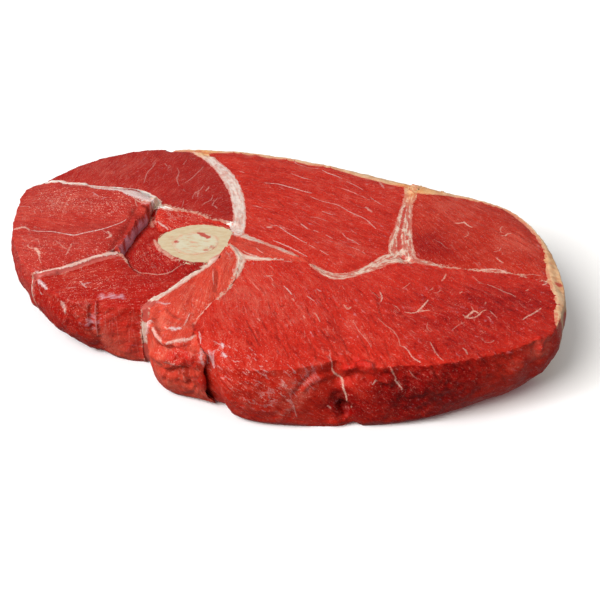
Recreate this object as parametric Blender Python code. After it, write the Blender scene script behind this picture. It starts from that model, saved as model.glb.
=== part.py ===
"""A raw bone-in beef round steak: one thick slice cut straight across the hind leg.

Every muscle of the leg is its own solid that runs through the slice, and so are the sawn thigh
bone, its marrow, the fat between the muscles and the fat cap along the back edge. The plan is
drawn in millimetres seen from above, +X to the right and +Y to the back, and a two-dimensional
triangulation cuts it along the seams. Each cell then becomes a closed solid between the flat
underside and a top face that bulges and dips as wet muscle does.
"""

import math

import bmesh
import bpy
from mathutils import Vector, geometry, noise

MM = 0.001
WELD = 0.02  # plan points nearer than this are one point
ON_RIM = 0.01  # a plan point this near the rim lies on it
FAR = 99.0  # stands for the distance to a seam where a cell has none
SHARP_ANGLE = math.radians(50)

# The slice
THICKNESS = 42.0
GAP = 0.4  # left between solids that touch
SEAM_STEP = 5.0  # length of a facet along a seam or along the rim
LATTICE = 5.6  # spacing of the points inside a muscle's top face
CLEAR_OF_EDGE = 2.4  # a lattice point stays this far from every seam
RIM_ROW = 4.6  # an even row of points runs this far inside the rim

# The rim's profile from the underside to the top face: (share of the height, inset)
RIM_PROFILE = ((0.0, 4.6), (0.1, 2.0), (0.35, 0.3), (0.66, 0.0), (0.87, 0.9), (1.0, 3.2))
BELLY = 0.66  # the share of the height at which the rim stands furthest out
RIM_REACH = 28.0  # the rim's profile moves no point further inside than this, and further
DRAWN_REACH = 2.0  # by this share of how far the underside is drawn in
SHOULDER_DROP = 2.4  # the top face falls by this much at the rim
SHOULDER_REACH = 9.0
EDGE_DROP = 1.7  # a muscle's top face falls by this much where it meets a seam
EDGE_REACH = 3.6
SWELL = 1.0  # slow swells of the whole cut face
SWELL_SIZE = 46.0
SWELL_LAYER = 3.1  # which layer of the noise the swells are read from
FAT_SUNK = 0.5  # fat lies this far under the muscle's mean level
UNDER_FAT = 0.3  # seam fat and marrow end this far above the resting plane
BONE_PROUD = 1.2
MARROW_SUNK = 0.6

# The widest outline, anticlockwise from the left: x, y, the thickness of the fat cap there and how
# much further the underside is drawn in there
OUTLINE = (
    (-168, 55, 0, 12),
    (-166, 22, 0, 15),
    (-152, -10, 0, 16),
    (-129, -36, 0, 14),
    (-105, -43, 0, 5),
    (-91, -44, 0, 0),
    (-81, -48, 0, 0),
    (-79, -63, 0, 2),
    (-69, -78, 0, 5),
    (-50, -88, 0, 8),
    (-37, -99, 0, 8),
    (-16, -105, 0, 5),
    (25, -103, 0, 0),
    (70, -103, 0, 5),
    (112, -91, 0, 12),
    (143, -73, 0, 15),
    (156, -43, 3.6, 15),
    (159, -15, 7.5, 12),
    (153, 27, 2.2, 8),
    (136, 61, 1.6, 5),
    (98, 83.5, 4.5, 2),
    (60, 101, 6, 1),
    (5, 123, 3.4, 1),
    (-45, 135, 4, 1),
    (-96, 131, 0, 2),
    (-136, 110, 0, 6),
    (-163, 83, 0, 9),
)
THIN_CAP = 1.2  # the cap ends where it gets thinner than this
PAST_RIM = 4.0  # the cap's plan crosses the rim by this much before it is cut along the rim

# Fat between the muscles: each node's branches, as (x, y, width) along the seam
FAT_SEAMS = {
    "fat_outer_seam": (
        (
            (-59, 138, 17), (-56, 128, 9), (-51, 119, 5.5), (-43, 105, 7), (-36.5, 89, 7.5),
            (-32.5, 73, 7), (-30.5, 52, 6.5), (-31, 40, 7.5), (-33, 30, 9),
        ),
    ),
    "fat_eye_seam": (
        (
            (78, 97, 13), (76.5, 86, 9), (74.5, 75, 6.5), (71.5, 62, 5.5), (69, 46, 8),
            (67, 30, 10), (66, 13, 13), (66, 1, 15),
        ),
        (
            (66, 6, 12), (57, 3.5, 9), (47, -4.5, 6), (36, -12, 4), (27, -14.5, 5.5),
            (20, -11, 4.5), (12, -2.5, 2),
        ),
        (
            (70, 3, 6), (80, 0, 4), (91, -4.5, 2.4), (108, -7.2, 1.6), (126, -10, 1.6),
            (141, -14.5, 1.8), (154, -20, 3),
        ),
    ),
    "fat_tip_seam": (
        (
            (-168, 91, 2), (-155, 89, 2), (-139, 87.3, 1.6), (-120, 83, 3), (-101, 79.7, 4.2),
            (-91, 76.5, 4.6), (-80, 63, 5),
        ),
        ((-82, 64, 4), (-70, 59, 2.4), (-57, 55.5, 2), (-45, 48, 1.6), (-33, 42, 1.6)),
    ),
    "fat_lobe_seam": (
        (
            (-158, -18, 2.5), (-149, -13, 3), (-140, -10, 3.6), (-129, -5.5, 3), (-118, 1, 3),
            (-106, 7, 2.6), (-98, 11, 3),
        ),
    ),
    "fat_inner_seam": (
        (
            (-41, 14, 3), (-46, 0, 3.6), (-56, -12.5, 3.4), (-68, -27, 2.6), (-76, -35, 3.2),
            (-87, -51, 3.2),
        ),
    ),
    "fat_flap_seam": (
        (
            (-40, 24, 1.8), (-33, 15, 2.4), (-28.5, 4, 4.4), (-30, -9, 3), (-34, -23, 1.7),
            (-41, -38, 1.5),
        ),
        ((-28, 6, 4.4), (-19, 3.6, 2.6), (-8, 2.4, 1.5)),
    ),
    "fat_wedge_seam": (
        ((-33, 33, 5), (-22, 25.5, 3), (-12, 18.5, 1.6), (-3, 12, 2.4), (4, 6, 1.5)),
    ),
}

# Bare seams, where two muscles lie against each other with no fat between them
BARE_SEAMS = (
    ((-99, 9), (-96.5, 22), (-92, 36), (-88, 49), (-81, 65)),
    ((-80, 65), (-81.5, 48), (-78, 39), (-70, 32)),
    ((-98, 11), (-94, 1), (-89, -9), (-77, -13.5), (-65, -11), (-57, -6), (-47, -1)),
    ((-40, -36), (-48, -50), (-52.5, -64), (-52, -70)),
    ((-10, 2.4), (2, 1.2), (13, -3.5)),
    ((3, 7), (8, 1.5), (13, -4)),
)

# Clefts that stand open between two muscles, as (x, y, width)
OPEN_CLEFTS = (((-52.5, -66, 0.5), (-51, -75, 1.6), (-48, -86, 3.0), (-43, -99, 4.4)),)

# The thigh bone's sawn section and the marrow in it
FEMUR = (
    (-79, 22), (-74, 33), (-57, 41.5), (-39, 38.5), (-34, 33), (-38, 15), (-45, 3), (-56, -2.5),
    (-70, 6),
)
MARROW = ((-69, 20), (-64, 29), (-54, 32), (-45, 28), (-43, 19), (-49, 11), (-59, 9), (-66, 13))

# Each muscle: a point in it, how high its cut face stands, how much it domes, and its slope
MUSCLES = {
    "outer_tip": {"at": (-90, 100), "lift": 0.0, "dome": 1.6, "slope": (0.0, 0.0)},
    "centre_tip": {"at": (-140, 60), "lift": 2.4, "dome": 1.4, "slope": (0.045, 0.0)},
    "inner_tip": {"at": (-110, -20), "lift": -0.8, "dome": 1.0, "slope": (0.0, 0.02)},
    "bone_tip_front": {"at": (-83, 10), "lift": -2.2, "dome": 0.6, "slope": (0.02, 0.0)},
    "bone_tip_back": {"at": (-70, 50), "lift": -0.8, "dome": 0.6, "slope": (0.0, 0.0)},
    "flap": {"at": (-60, -35), "lift": 0.2, "dome": 1.8, "slope": (0.0, 0.03)},
    "wedge": {"at": (-20, 14), "lift": 0.2, "dome": 0.9, "slope": (0.0, 0.0)},
    "top_round": {"at": (40, -50), "lift": 0.2, "dome": 2.2, "slope": (0.0, 0.0)},
    "bottom_round": {"at": (10, 60), "lift": 0.0, "dome": 0.8, "slope": (0.0, 0.0)},
    "eye_round": {"at": (115, 30), "lift": 0.2, "dome": 1.8, "slope": (0.0, 0.0)},
}
DOME_REACH = 26.0

# Long dents in the top faces: (from, to, depth, half width)
DENTS = (
    ((-150, 33), (-104, 42), 2.0, 7.0),  # the tendon line in the centre of the tip
    ((-52, -18), (-56, -46), 1.6, 3.0),  # fold in the flap
    ((-68, -52), (-52, -58), 1.4, 4.0),
    ((28, -60), (34, -100), 1.4, 5.0),  # cleft that runs out over the front rim
    ((-98, 14), (-88, 50), 3.4, 4.6),  # the open crease beside the tip's centre
    ((-88, 50), (-84, 58), 2.4, 3.4),
)
# Notches in the side wall: (at the underside, at the top, half width, depth, share it starts at)
NOTCHES = (
    ((-108, -42), (-108, -42), 2.6, 2.6, 0.0),
    ((-83, -47), (-83, -47), 4.0, 2.6, 0.0),
    ((-43, -94), (-45, -92), 5.0, 6.0, 0.0),
    ((34, -103), (24, -103), 3.0, 4.6, 0.0),
    ((22, -104), (22, -104), 14.0, 3.4, 0.25),
    ((66, -104), (60, -104), 9.0, 2.0, 0.2),
    ((134, -80), (134, -80), 5.0, 1.8, 0.1),
)
NOTCH_START = 0.2  # a notch that starts above the underside deepens over this share of the height
# Uneven surface of the side walls: depth, size of its lumps and its mean
CRAG = 1.5
CRAG_SIZE = 13.0
CRAG_MEAN = 0.4

# Finishes: colour, roughness
FINISHES = {
    "meat": ((0.52, 0.035, 0.030), 0.38),
    "dark_meat": ((0.36, 0.022, 0.024), 0.36),
    "fat": ((0.86, 0.62, 0.48), 0.42),
    "bone": ((0.86, 0.76, 0.52), 0.55),
    "marrow": ((0.86, 0.70, 0.48), 0.5),
}


def clear_scene():
    for old in list(bpy.data.objects):
        bpy.data.objects.remove(old, do_unlink=True)


def finish_material(name):
    """The Principled material for one finish."""
    colour, roughness = FINISHES[name]
    made = bpy.data.materials.new(name)
    made.use_nodes = True
    shader = made.node_tree.nodes["Principled BSDF"]
    shader.inputs["Base Color"].default_value = (*colour, 1.0)
    shader.inputs["Roughness"].default_value = roughness
    shader.inputs["Metallic"].default_value = 0.0
    return made


def spline(points, step, closed=False):
    """A Catmull-Rom curve through points of any number of coordinates, sampled about every step."""
    count = len(points)
    spans = count if closed else count - 1
    found = []
    for i in range(spans):
        if closed:
            near = [points[(i + k) % count] for k in (-1, 0, 1, 2)]
        else:
            near = [points[min(max(i + k, 0), count - 1)] for k in (-1, 0, 1, 2)]
        before, start, end, after = near
        length = math.dist(start[:2], end[:2])
        pieces = max(1, round(length / step))
        for k in range(pieces):
            t = k / pieces
            found.append(
                tuple(
                    0.5
                    * (
                        2 * b
                        + (c - a) * t
                        + (2 * a - 5 * b + 4 * c - d) * t * t
                        + (3 * b - a - 3 * c + d) * t**3
                    )
                    for a, b, c, d in zip(before, start, end, after)
                )
            )
    if not closed:
        found.append(tuple(float(v) for v in points[-1]))
    return found


def band(route, grow):
    """The closed outline of a seam: both sides of a route of (x, y, width), grown by some distance."""
    line = spline(route, SEAM_STEP)
    left, right = [], []
    last = len(line) - 1
    for i, (x, y, width) in enumerate(line):
        ahead, behind = line[min(i + 1, last)], line[max(i - 1, 0)]
        along = Vector((ahead[0] - behind[0], ahead[1] - behind[1])).normalized()
        across = Vector((-along.y, along.x)) * (width / 2 + grow)
        end = along * (grow if i == last else -grow if i == 0 else 0.0)
        left.append(Vector((x, y)) + across + end)
        right.append(Vector((x, y)) - across + end)
    return left + right[::-1]


def ring(points, grow):
    """A closed smooth outline moved outwards by some distance."""
    line = spline(points, SEAM_STEP, closed=True)
    count = len(line)
    area = sum(
        line[i][0] * line[(i + 1) % count][1] - line[(i + 1) % count][0] * line[i][1]
        for i in range(count)
    )
    side = 1 if area > 0 else -1
    moved = []
    for i, point in enumerate(line):
        ahead, behind = line[(i + 1) % count], line[i - 1]
        along = Vector((ahead[0] - behind[0], ahead[1] - behind[1])).normalized()
        moved.append(Vector(point[:2]) + Vector((along.y, -along.x)) * side * grow)
    return moved


def cap_strip(grow):
    """The fat cap's plan: from outside the rim to its thickness inside it, along the back edge."""
    line = spline(OUTLINE, SEAM_STEP, closed=True)
    count = len(line)
    covered = [i for i in range(count) if line[i][2] >= THIN_CAP]
    outer, inner = [], []
    for i in covered:
        x, y, thick, _ = line[i]
        ahead, behind = line[(i + 1) % count], line[i - 1]
        along = Vector((ahead[0] - behind[0], ahead[1] - behind[1])).normalized()
        inward = Vector((-along.y, along.x))
        outer.append(Vector((x, y)) - inward * PAST_RIM)
        inner.append(Vector((x, y)) + inward * (thick + grow))
    for side in (outer, inner):
        side[0] -= (side[1] - side[0]).normalized() * grow
        side[-1] += (side[-1] - side[-2]).normalized() * grow
    return outer + inner[::-1]


def inside(point, polygon):
    """Whether a point lies in a closed outline."""
    x, y = point
    crossed = False
    previous = polygon[-1]
    for corner in polygon:
        if (corner[1] > y) != (previous[1] > y):
            reach = (previous[0] - corner[0]) * (y - corner[1]) / (previous[1] - corner[1]) + corner[0]
            if x < reach:
                crossed = not crossed
        previous = corner
    return crossed


def to_segment(point, start, end):
    """The distance from a point to a segment, and the nearest point on it."""
    along = end - start
    length = along.length_squared
    share = 0.0 if length == 0 else max(0.0, min(1.0, (point - start).dot(along) / length))
    near = start + along * share
    return (point - near).length, near


def fall(distance, reach):
    """1 at no distance, falling smoothly towards 0 past the reach."""
    return math.exp(-((distance / reach) ** 2))


def plan_regions():
    """The outlines of every cell that isn't muscle, in order of right of way: name to (true, grown)."""
    regions = {
        "marrow": ([ring(MARROW, 0.0)], [ring(MARROW, GAP)]),
        "femur": ([ring(FEMUR, 0.0)], [ring(FEMUR, GAP)]),
    }
    regions["fat_cap"] = ([cap_strip(0.0)], [cap_strip(GAP)])
    for name, branches in FAT_SEAMS.items():
        regions[name] = ([band(b, 0.0) for b in branches], [band(b, GAP) for b in branches])
    return regions


def lattice_points(outline, edges):
    """Points inside the muscles, clear of every seam: one row along the rim, and even rows within."""
    track = ring(OUTLINE, -RIM_ROW)
    rim_row = [p for p in track if all(to_segment(p, a, b)[0] > CLEAR_OF_EDGE for a, b in edges)]
    edges = edges + [(track[i - 1], track[i]) for i in range(len(track))]
    low_x, high_x = min(p.x for p in outline), max(p.x for p in outline)
    low_y, high_y = min(p.y for p in outline), max(p.y for p in outline)
    row_height = LATTICE * math.sqrt(3) / 2
    found = []
    for row in range(int((high_y - low_y) / row_height) + 1):
        y = low_y + row * row_height
        for column in range(int((high_x - low_x) / LATTICE) + 1):
            point = Vector((low_x + (column + 0.5 * (row % 2)) * LATTICE, y))
            if inside(point, track) and all(to_segment(point, a, b)[0] > CLEAR_OF_EDGE for a, b in edges):
                found.append(point)
    return rim_row + found


def triangulated_plan(outline, regions):
    """The whole plan as triangles whose edges follow every seam."""
    loops = [outline]
    for true, grown in regions.values():
        loops += true + grown
    bare = [band([(x, y, GAP) for x, y in route], 0.0) for route in BARE_SEAMS]
    bare += [band(route, 0.0) for route in OPEN_CLEFTS]
    loops += bare
    points, links, edges = [], [], []
    for loop in loops:
        first = len(points)
        points += loop
        for i in range(len(loop)):
            links.append((first + i, first + (i + 1) % len(loop)))
            edges.append((loop[i], loop[(i + 1) % len(loop)]))
    points += lattice_points(outline, edges)
    corners, _, triangles, _, _, _ = geometry.delaunay_2d_cdt(points, links, [], 0, WELD)
    return corners, triangles, bare


def sorted_cells(corners, triangles, outline, regions, bare):
    """Which node every triangle belongs to: name to its triangles."""
    cells = {name: [] for name in regions}
    meat = []
    for triangle in triangles:
        middle = (corners[triangle[0]] + corners[triangle[1]] + corners[triangle[2]]) / 3
        if not inside(middle, outline):
            continue
        owner = None
        in_gap = any(inside(middle, loop) for loop in bare)
        for name, (true, grown) in regions.items():
            if any(inside(middle, loop) for loop in true):
                owner = name
                break
            if any(inside(middle, loop) for loop in grown):
                in_gap = True
                break
        if owner:
            cells[owner].append(tuple(triangle))
        elif not in_gap:
            meat.append(tuple(triangle))
    for group in joined_groups(meat):
        for name, facts in MUSCLES.items():
            if any(inside(facts["at"], [corners[i] for i in t]) for t in group):
                cells[name] = group
    return {name: joined_groups(cell)[0] for name, cell in cells.items() if cell}


def joined_groups(triangles):
    """Triangles that share edges, in groups, the largest first."""
    by_edge = {}
    for n, triangle in enumerate(triangles):
        for k in range(3):
            by_edge.setdefault(frozenset((triangle[k], triangle[k - 1])), []).append(n)
    left = set(range(len(triangles)))
    groups = []
    while left:
        waiting, group = [left.pop()], []
        while waiting:
            n = waiting.pop()
            group.append(triangles[n])
            for k in range(3):
                for m in by_edge[frozenset((triangles[n][k], triangles[n][k - 1]))]:
                    if m in left:
                        left.remove(m)
                        waiting.append(m)
        groups.append(group)
    return sorted(groups, key=len, reverse=True)


def open_edges(triangles):
    """The directed edges round a cell, with the cell on their left."""
    directed = {(t[k - 1], t[k]) for t in triangles for k in range(3)}
    return [edge for edge in directed if (edge[1], edge[0]) not in directed]


class Slice:
    """Where each point of the plan lies in the real slice."""

    def __init__(self, line):
        count = len(line)
        self.outline = [Vector(point[:2]) for point in line]
        self.drawn_in = [point[3] for point in line]
        self.inwards = []
        for i in range(count):
            along = self.outline[(i + 1) % count] - self.outline[i - 1]
            self.inwards.append(Vector((-along.y, along.x)).normalized())
        self.found = {}

    def to_rim(self, point):
        """The distance to the rim, the nearest point on it, the direction inwards and how far the
        underside is drawn in there."""
        key = (round(point.x, 3), round(point.y, 3))
        if key not in self.found:
            count = len(self.outline)
            best = (math.inf,)
            for i in range(count):
                after = (i + 1) % count
                start, end = self.outline[i], self.outline[after]
                distance, near = to_segment(point, start, end)
                if distance < best[0]:
                    share = (near - start).length / (end - start).length
                    inward = self.inwards[i].lerp(self.inwards[after], share).normalized()
                    drawn_in = self.drawn_in[i] * (1 - share) + self.drawn_in[after] * share
                    best = (distance, near, inward, drawn_in)
            self.found[key] = best
        return self.found[key]

    def away(self, point):
        """1 at the rim, falling to exactly 0 where the rim's profile ends."""
        distance, _, _, drawn_in = self.to_rim(point)
        return max(0.0, 1 - distance / (RIM_REACH + DRAWN_REACH * drawn_in)) ** 2

    def swell(self, point):
        return SWELL * noise.noise(Vector((*(point / SWELL_SIZE), SWELL_LAYER)))

    def dents(self, point):
        depth = 0.0
        for start, end, deep, half in DENTS:
            depth += deep * fall(to_segment(point, Vector(start), Vector(end))[0], half)
        return depth

    def top_of(self, name, point, to_seam):
        """The height of a cell's top face above the resting plane."""
        height = THICKNESS + self.swell(point)
        height -= SHOULDER_DROP * math.exp(-self.to_rim(point)[0] / SHOULDER_REACH)
        if name in MUSCLES:
            facts = MUSCLES[name]
            middle = Vector(facts["at"])
            height += facts["lift"] + facts["dome"] * (1 - math.exp(-to_seam / DOME_REACH))
            height += (point - middle).dot(Vector(facts["slope"]))
            height -= EDGE_DROP * math.exp(-to_seam / EDGE_REACH) + self.dents(point)
        elif name == "femur":
            height = THICKNESS + BONE_PROUD
        elif name == "marrow":
            height = THICKNESS + BONE_PROUD - MARROW_SUNK
        else:
            height -= FAT_SUNK
        return height

    def place(self, point, share, top, bottom):
        """A point of the plan at a share of the height, moved in by the rim's profile and crags."""
        _, near, inward, drawn_in = self.to_rim(point)
        z = bottom + (top - bottom) * share
        moved = profile_inset(share) + drawn_in * max(0.0, 1 - share / BELLY) ** 2
        for low, high, half, depth, start in NOTCHES:
            middle = Vector(low).lerp(Vector(high), share)
            grown = min(1.0, max(0.0, (share - start) / NOTCH_START)) if start else 1.0
            moved += depth * fall((near - middle).length, half) * grown
        rough = CRAG_MEAN + noise.noise(Vector((near.x, near.y, z)) / CRAG_SIZE)
        moved += CRAG * rough * math.sin(math.pi * share) ** 0.5
        return Vector((*(point + inward * moved * self.away(point)), z))


def profile_inset(share):
    """The rim's inset at a share of the height."""
    for (low, first), (high, second) in zip(RIM_PROFILE, RIM_PROFILE[1:]):
        if share <= high:
            return first + (second - first) * (share - low) / (high - low)
    return RIM_PROFILE[-1][1]


def build_cell(name, triangles, corners, shape, material):
    """One closed solid from the triangles of its top face."""
    edges = open_edges(triangles)
    sides = [(corners[a], corners[b]) for a, b in edges]
    bottom = 0.0 if name in MUSCLES or name in ("femur", "fat_cap") else UNDER_FAT
    mesh = bmesh.new()
    columns = {}
    for index in sorted({i for t in triangles for i in t}):
        point = corners[index]
        to_seam = min(
            (to_segment(point, a, b)[0] for a, b in sides if not on_rim(a, b, shape)),
            default=FAR,
        )
        top = shape.top_of(name, point, to_seam)
        shares = [1.0]
        if any(index in edge for edge in edges):
            shares = [level for level, _ in RIM_PROFILE] if shape.away(point) > 0 else [0.0, 1.0]
        columns[index] = [mesh.verts.new(shape.place(point, share, top, bottom)) for share in shares]
    for triangle in triangles:
        mesh.faces.new([columns[i][-1] for i in triangle])
    for start, end in edges:
        first, second = columns[start], columns[end]
        if len(first) == len(second):
            for k in range(len(first) - 1):
                mesh.faces.new((first[k], second[k], second[k + 1], first[k + 1]))
        else:
            mesh.faces.new([*second, *reversed(first)])
    under = [mesh.edges.get((columns[a][0], columns[b][0])) for a, b in edges]
    bmesh.ops.triangle_fill(mesh, edges=under, use_beauty=True, normal=(0, 0, -1))
    bmesh.ops.triangulate(mesh, faces=[f for f in mesh.faces if len(f.verts) > 3])
    bmesh.ops.recalc_face_normals(mesh, faces=mesh.faces)
    bmesh.ops.scale(mesh, vec=(MM, MM, MM), verts=mesh.verts)
    data = bpy.data.meshes.new(name)
    mesh.to_mesh(data)
    mesh.free()
    data.materials.append(material)
    data.shade_smooth()
    data.set_sharp_from_angle(angle=SHARP_ANGLE)
    made = bpy.data.objects.new(name, data)
    bpy.context.scene.collection.objects.link(made)
    return made


def on_rim(start, end, shape):
    return shape.to_rim(start)[0] < ON_RIM and shape.to_rim(end)[0] < ON_RIM


def finish_of(name):
    if name == "outer_tip":
        return "dark_meat"
    if name in MUSCLES:
        return "meat"
    return {"femur": "bone", "marrow": "marrow"}.get(name, "fat")


def centre_on_origin(parts):
    """Moves every mesh so that the slice's box stands on the origin, centred over it."""
    across = [v.co.x for part in parts for v in part.data.vertices]
    deep = [v.co.y for part in parts for v in part.data.vertices]
    middle = Vector(((min(across) + max(across)) / 2, (min(deep) + max(deep)) / 2, 0.0))
    for part in parts:
        for vertex in part.data.vertices:
            vertex.co -= middle


def main():
    clear_scene()
    bpy.context.scene.unit_settings.scale_length = 1.0
    rim = spline(OUTLINE, SEAM_STEP, closed=True)
    outline = [Vector(point[:2]) for point in rim]
    regions = plan_regions()
    corners, triangles, bare = triangulated_plan(outline, regions)
    cells = sorted_cells(corners, triangles, outline, regions, bare)
    shape = Slice(rim)
    materials = {name: finish_material(name) for name in FINISHES}
    parts = [
        build_cell(name, cell, corners, shape, materials[finish_of(name)])
        for name, cell in cells.items()
    ]
    centre_on_origin(parts)


main()
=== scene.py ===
# Raw bone-in beef round steak: one full slice across the thigh, with the sawn thigh bone and its marrow,
# ten muscles, the seams of fat between them, and the fat cap along the back and the right end.
import itertools
import bmesh
import bpy
import numpy as np
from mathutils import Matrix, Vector
from mathutils.bvhtree import BVHTree
from mathutils.kdtree import KDTree


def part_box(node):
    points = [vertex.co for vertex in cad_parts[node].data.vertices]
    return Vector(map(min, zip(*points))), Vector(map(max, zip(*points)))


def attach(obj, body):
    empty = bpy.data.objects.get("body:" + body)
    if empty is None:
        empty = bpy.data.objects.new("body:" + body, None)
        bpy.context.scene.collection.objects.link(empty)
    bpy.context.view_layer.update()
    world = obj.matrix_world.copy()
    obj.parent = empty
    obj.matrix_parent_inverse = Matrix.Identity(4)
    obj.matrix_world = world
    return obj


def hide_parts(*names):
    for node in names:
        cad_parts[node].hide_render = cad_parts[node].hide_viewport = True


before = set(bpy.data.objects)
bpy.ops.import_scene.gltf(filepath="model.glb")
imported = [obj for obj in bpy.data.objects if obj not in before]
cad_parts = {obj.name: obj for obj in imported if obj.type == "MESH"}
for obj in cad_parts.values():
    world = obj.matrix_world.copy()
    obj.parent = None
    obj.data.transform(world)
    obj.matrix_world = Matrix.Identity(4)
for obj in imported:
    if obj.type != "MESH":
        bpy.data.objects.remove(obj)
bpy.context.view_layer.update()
mm = 0.001


def linearColour(code):
    # an sRGB hex value as the linear colour that a socket takes
    shares = [int(code[i:i + 2], 16) / 255 for i in (1, 3, 5)]
    return tuple(c / 12.92 if c <= 0.04045 else ((c + 0.055) / 1.055) ** 2.4 for c in shares) + (1.0,)


def feed(tree, node, sockets):
    # each socket is given a number, a colour or the socket that feeds it
    for key, value in sockets.items():
        if isinstance(value, bpy.types.NodeSocket):
            tree.links.new(value, node.inputs[key])
        else:
            node.inputs[key].default_value = value


def addNode(tree, kind, out=0, sockets=None, **settings):
    # adds one node with its settings and links, and gives back one of its outputs
    node = tree.nodes.new("ShaderNode" + kind)
    for name, value in settings.items():
        setattr(node, name, value)
    feed(tree, node, sockets or {})
    return node.outputs[out]


def intoScene(name, data):
    holder = bpy.data.objects.new(name, data)
    bpy.context.scene.collection.objects.link(holder)
    return holder


# the camera looks down on the slice from the front, where its longest side lies across the picture
cameraSet = {
    "bonePlan": (-56.50, 19.56),  # the middle of the bone, measured from the point looked at, mm
    "targetHeight": 21.0,  # mm
    "distance": 1000.0,  # mm
    "elevation": 35.0,  # degrees
    "lens": 102.0,  # mm
    "sensor": 36.0,  # mm
    "shift": (0.0167, -0.0133),
    "picture": 600,
}
boneLow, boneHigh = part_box("femur")
boneMiddle = (boneLow + boneHigh) / 2
target = Vector((
    boneMiddle.x - cameraSet["bonePlan"][0] * mm,
    boneMiddle.y - cameraSet["bonePlan"][1] * mm,
    cameraSet["targetHeight"] * mm,
))
slope = np.radians(cameraSet["elevation"])
backwards = Vector((0, -np.cos(slope), np.sin(slope)))
cameraData = bpy.data.cameras.new("camera")
camera = intoScene("camera", cameraData)
camera.location = target + backwards * cameraSet["distance"] * mm
camera.rotation_euler = backwards.to_track_quat("Z", "Y").to_euler()
cameraData.sensor_width = cameraSet["sensor"]
cameraData.lens = cameraSet["lens"]
cameraData.shift_x, cameraData.shift_y = cameraSet["shift"]
bpy.context.scene.camera = camera

# soft studio light: a wide soft source high at the left, a small panel for the wet glints, a pale surround that is
# brightest overhead
lightSet = {
    "window": {"from": (-0.56, -0.43, 0.71), "softness": 40.0, "strength": 3.1, "colour": "#FFFBF6"},
    "glintPanel": {"at": (-520, -330, 520), "size": (160, 120), "watts": 1.4, "colour": "#E6ECFF"},
    "surround": {"colour": "#FFFFFF", "overhead": 0.52, "level": 0.4, "below": 0.6},
}
windowSet, glintSet, surroundSet = lightSet.values()
window = bpy.data.lights.new("window", "SUN")
window.color = linearColour(windowSet["colour"])[:3]
window.energy = windowSet["strength"]
window.angle = np.radians(windowSet["softness"])
intoScene("window", window).rotation_euler = Vector(windowSet["from"]).to_track_quat("Z", "Y").to_euler()
glint = bpy.data.lights.new("glintPanel", "AREA")
glint.color = linearColour(glintSet["colour"])[:3]
glint.shape = "RECTANGLE"
glint.size, glint.size_y = [side * mm for side in glintSet["size"]]
glint.energy = glintSet["watts"]
glintHolder = intoScene("glintPanel", glint)
glintHolder.location = target + Vector(glintSet["at"]) * mm
glintHolder.rotation_euler = Vector(glintSet["at"]).to_track_quat("Z", "Y").to_euler()
surround = bpy.data.worlds.new("surround")
surround.use_nodes = True
surroundTree = surround.node_tree
sky = addNode(surroundTree, "TexCoord", "Generated")
skyHeight = addNode(surroundTree, "SeparateXYZ", "Z", {"Vector": sky})
skyLight = addNode(surroundTree, "MapRange", 0, {
    0: skyHeight, 1: 0.0, 2: 1.0, 3: surroundSet["level"], 4: surroundSet["overhead"]})
skyBelow = addNode(surroundTree, "MapRange", 0, {0: skyHeight, 1: -0.15, 2: 0.0, 3: surroundSet["below"], 4: 1.0})
skyLight = addNode(surroundTree, "Math", 0, {0: skyLight, 1: skyBelow}, operation="MULTIPLY")
feed(surroundTree, surroundTree.nodes["Background"], {
    "Color": linearColour(surroundSet["colour"]), "Strength": skyLight})
bpy.context.scene.world = surround
bpy.context.scene.view_settings.view_transform = "Standard"

# the floor is a plain pale sheet
floorSet = {"halfSide": 6.0, "colour": "#FAFAFA", "roughness": 0.9, "gloss": 0.1}  # the half side in m
floorShape = bmesh.new()
bmesh.ops.create_grid(floorShape, x_segments=1, y_segments=1, size=floorSet["halfSide"])
floorMesh = bpy.data.meshes.new("floor")
floorShape.to_mesh(floorMesh)
floorShape.free()
floor = intoScene("floor", floorMesh)
floorPaint = bpy.data.materials.new("mattWhiteBoard")
floorPaint.use_nodes = True
feed(floorPaint.node_tree, floorPaint.node_tree.nodes["Principled BSDF"], {
    "Base Color": linearColour(floorSet["colour"]), "Roughness": floorSet["roughness"],
    "Specular IOR Level": floorSet["gloss"]})
floorMesh.materials.append(floorPaint)
floor.visible_diffuse = False  # it throws no light back up at the sides of the meat
floor.visible_glossy = False
print("camera, lights and floor are ready")

# all the solids in one tree, to find what stands beside a wall and where a line of sight lands
solidPoints, solidFaces, solidOwner = [], [], []
for nodeName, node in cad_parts.items():
    node.data.calc_loop_triangles()
    first = len(solidPoints)
    solidPoints.extend(vert.co.copy() for vert in node.data.vertices)
    for face in node.data.loop_triangles:
        solidFaces.append([first + i for i in face.vertices])
        solidOwner.append(nodeName)
solids = BVHTree.FromPolygons(solidPoints, solidFaces, all_triangles=True)
sideways = Vector((1, 0, 0))
upwards = backwards.cross(sideways)


def placeSeen(across, down):
    # the point of the slice that lies at a place of the 600 x 600 picture
    middle, shift = cameraSet["picture"] / 2, cameraSet["shift"]
    sight = -backwards * cameraSet["lens"] / cameraSet["sensor"] * cameraSet["picture"]
    sight += sideways * (across - middle + shift[0] * cameraSet["picture"])
    sight -= upwards * (down - middle - shift[1] * cameraSet["picture"])
    hit = solids.ray_cast(camera.location, sight.normalized())[0]
    return np.array(hit) / mm if hit is not None else None


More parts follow.
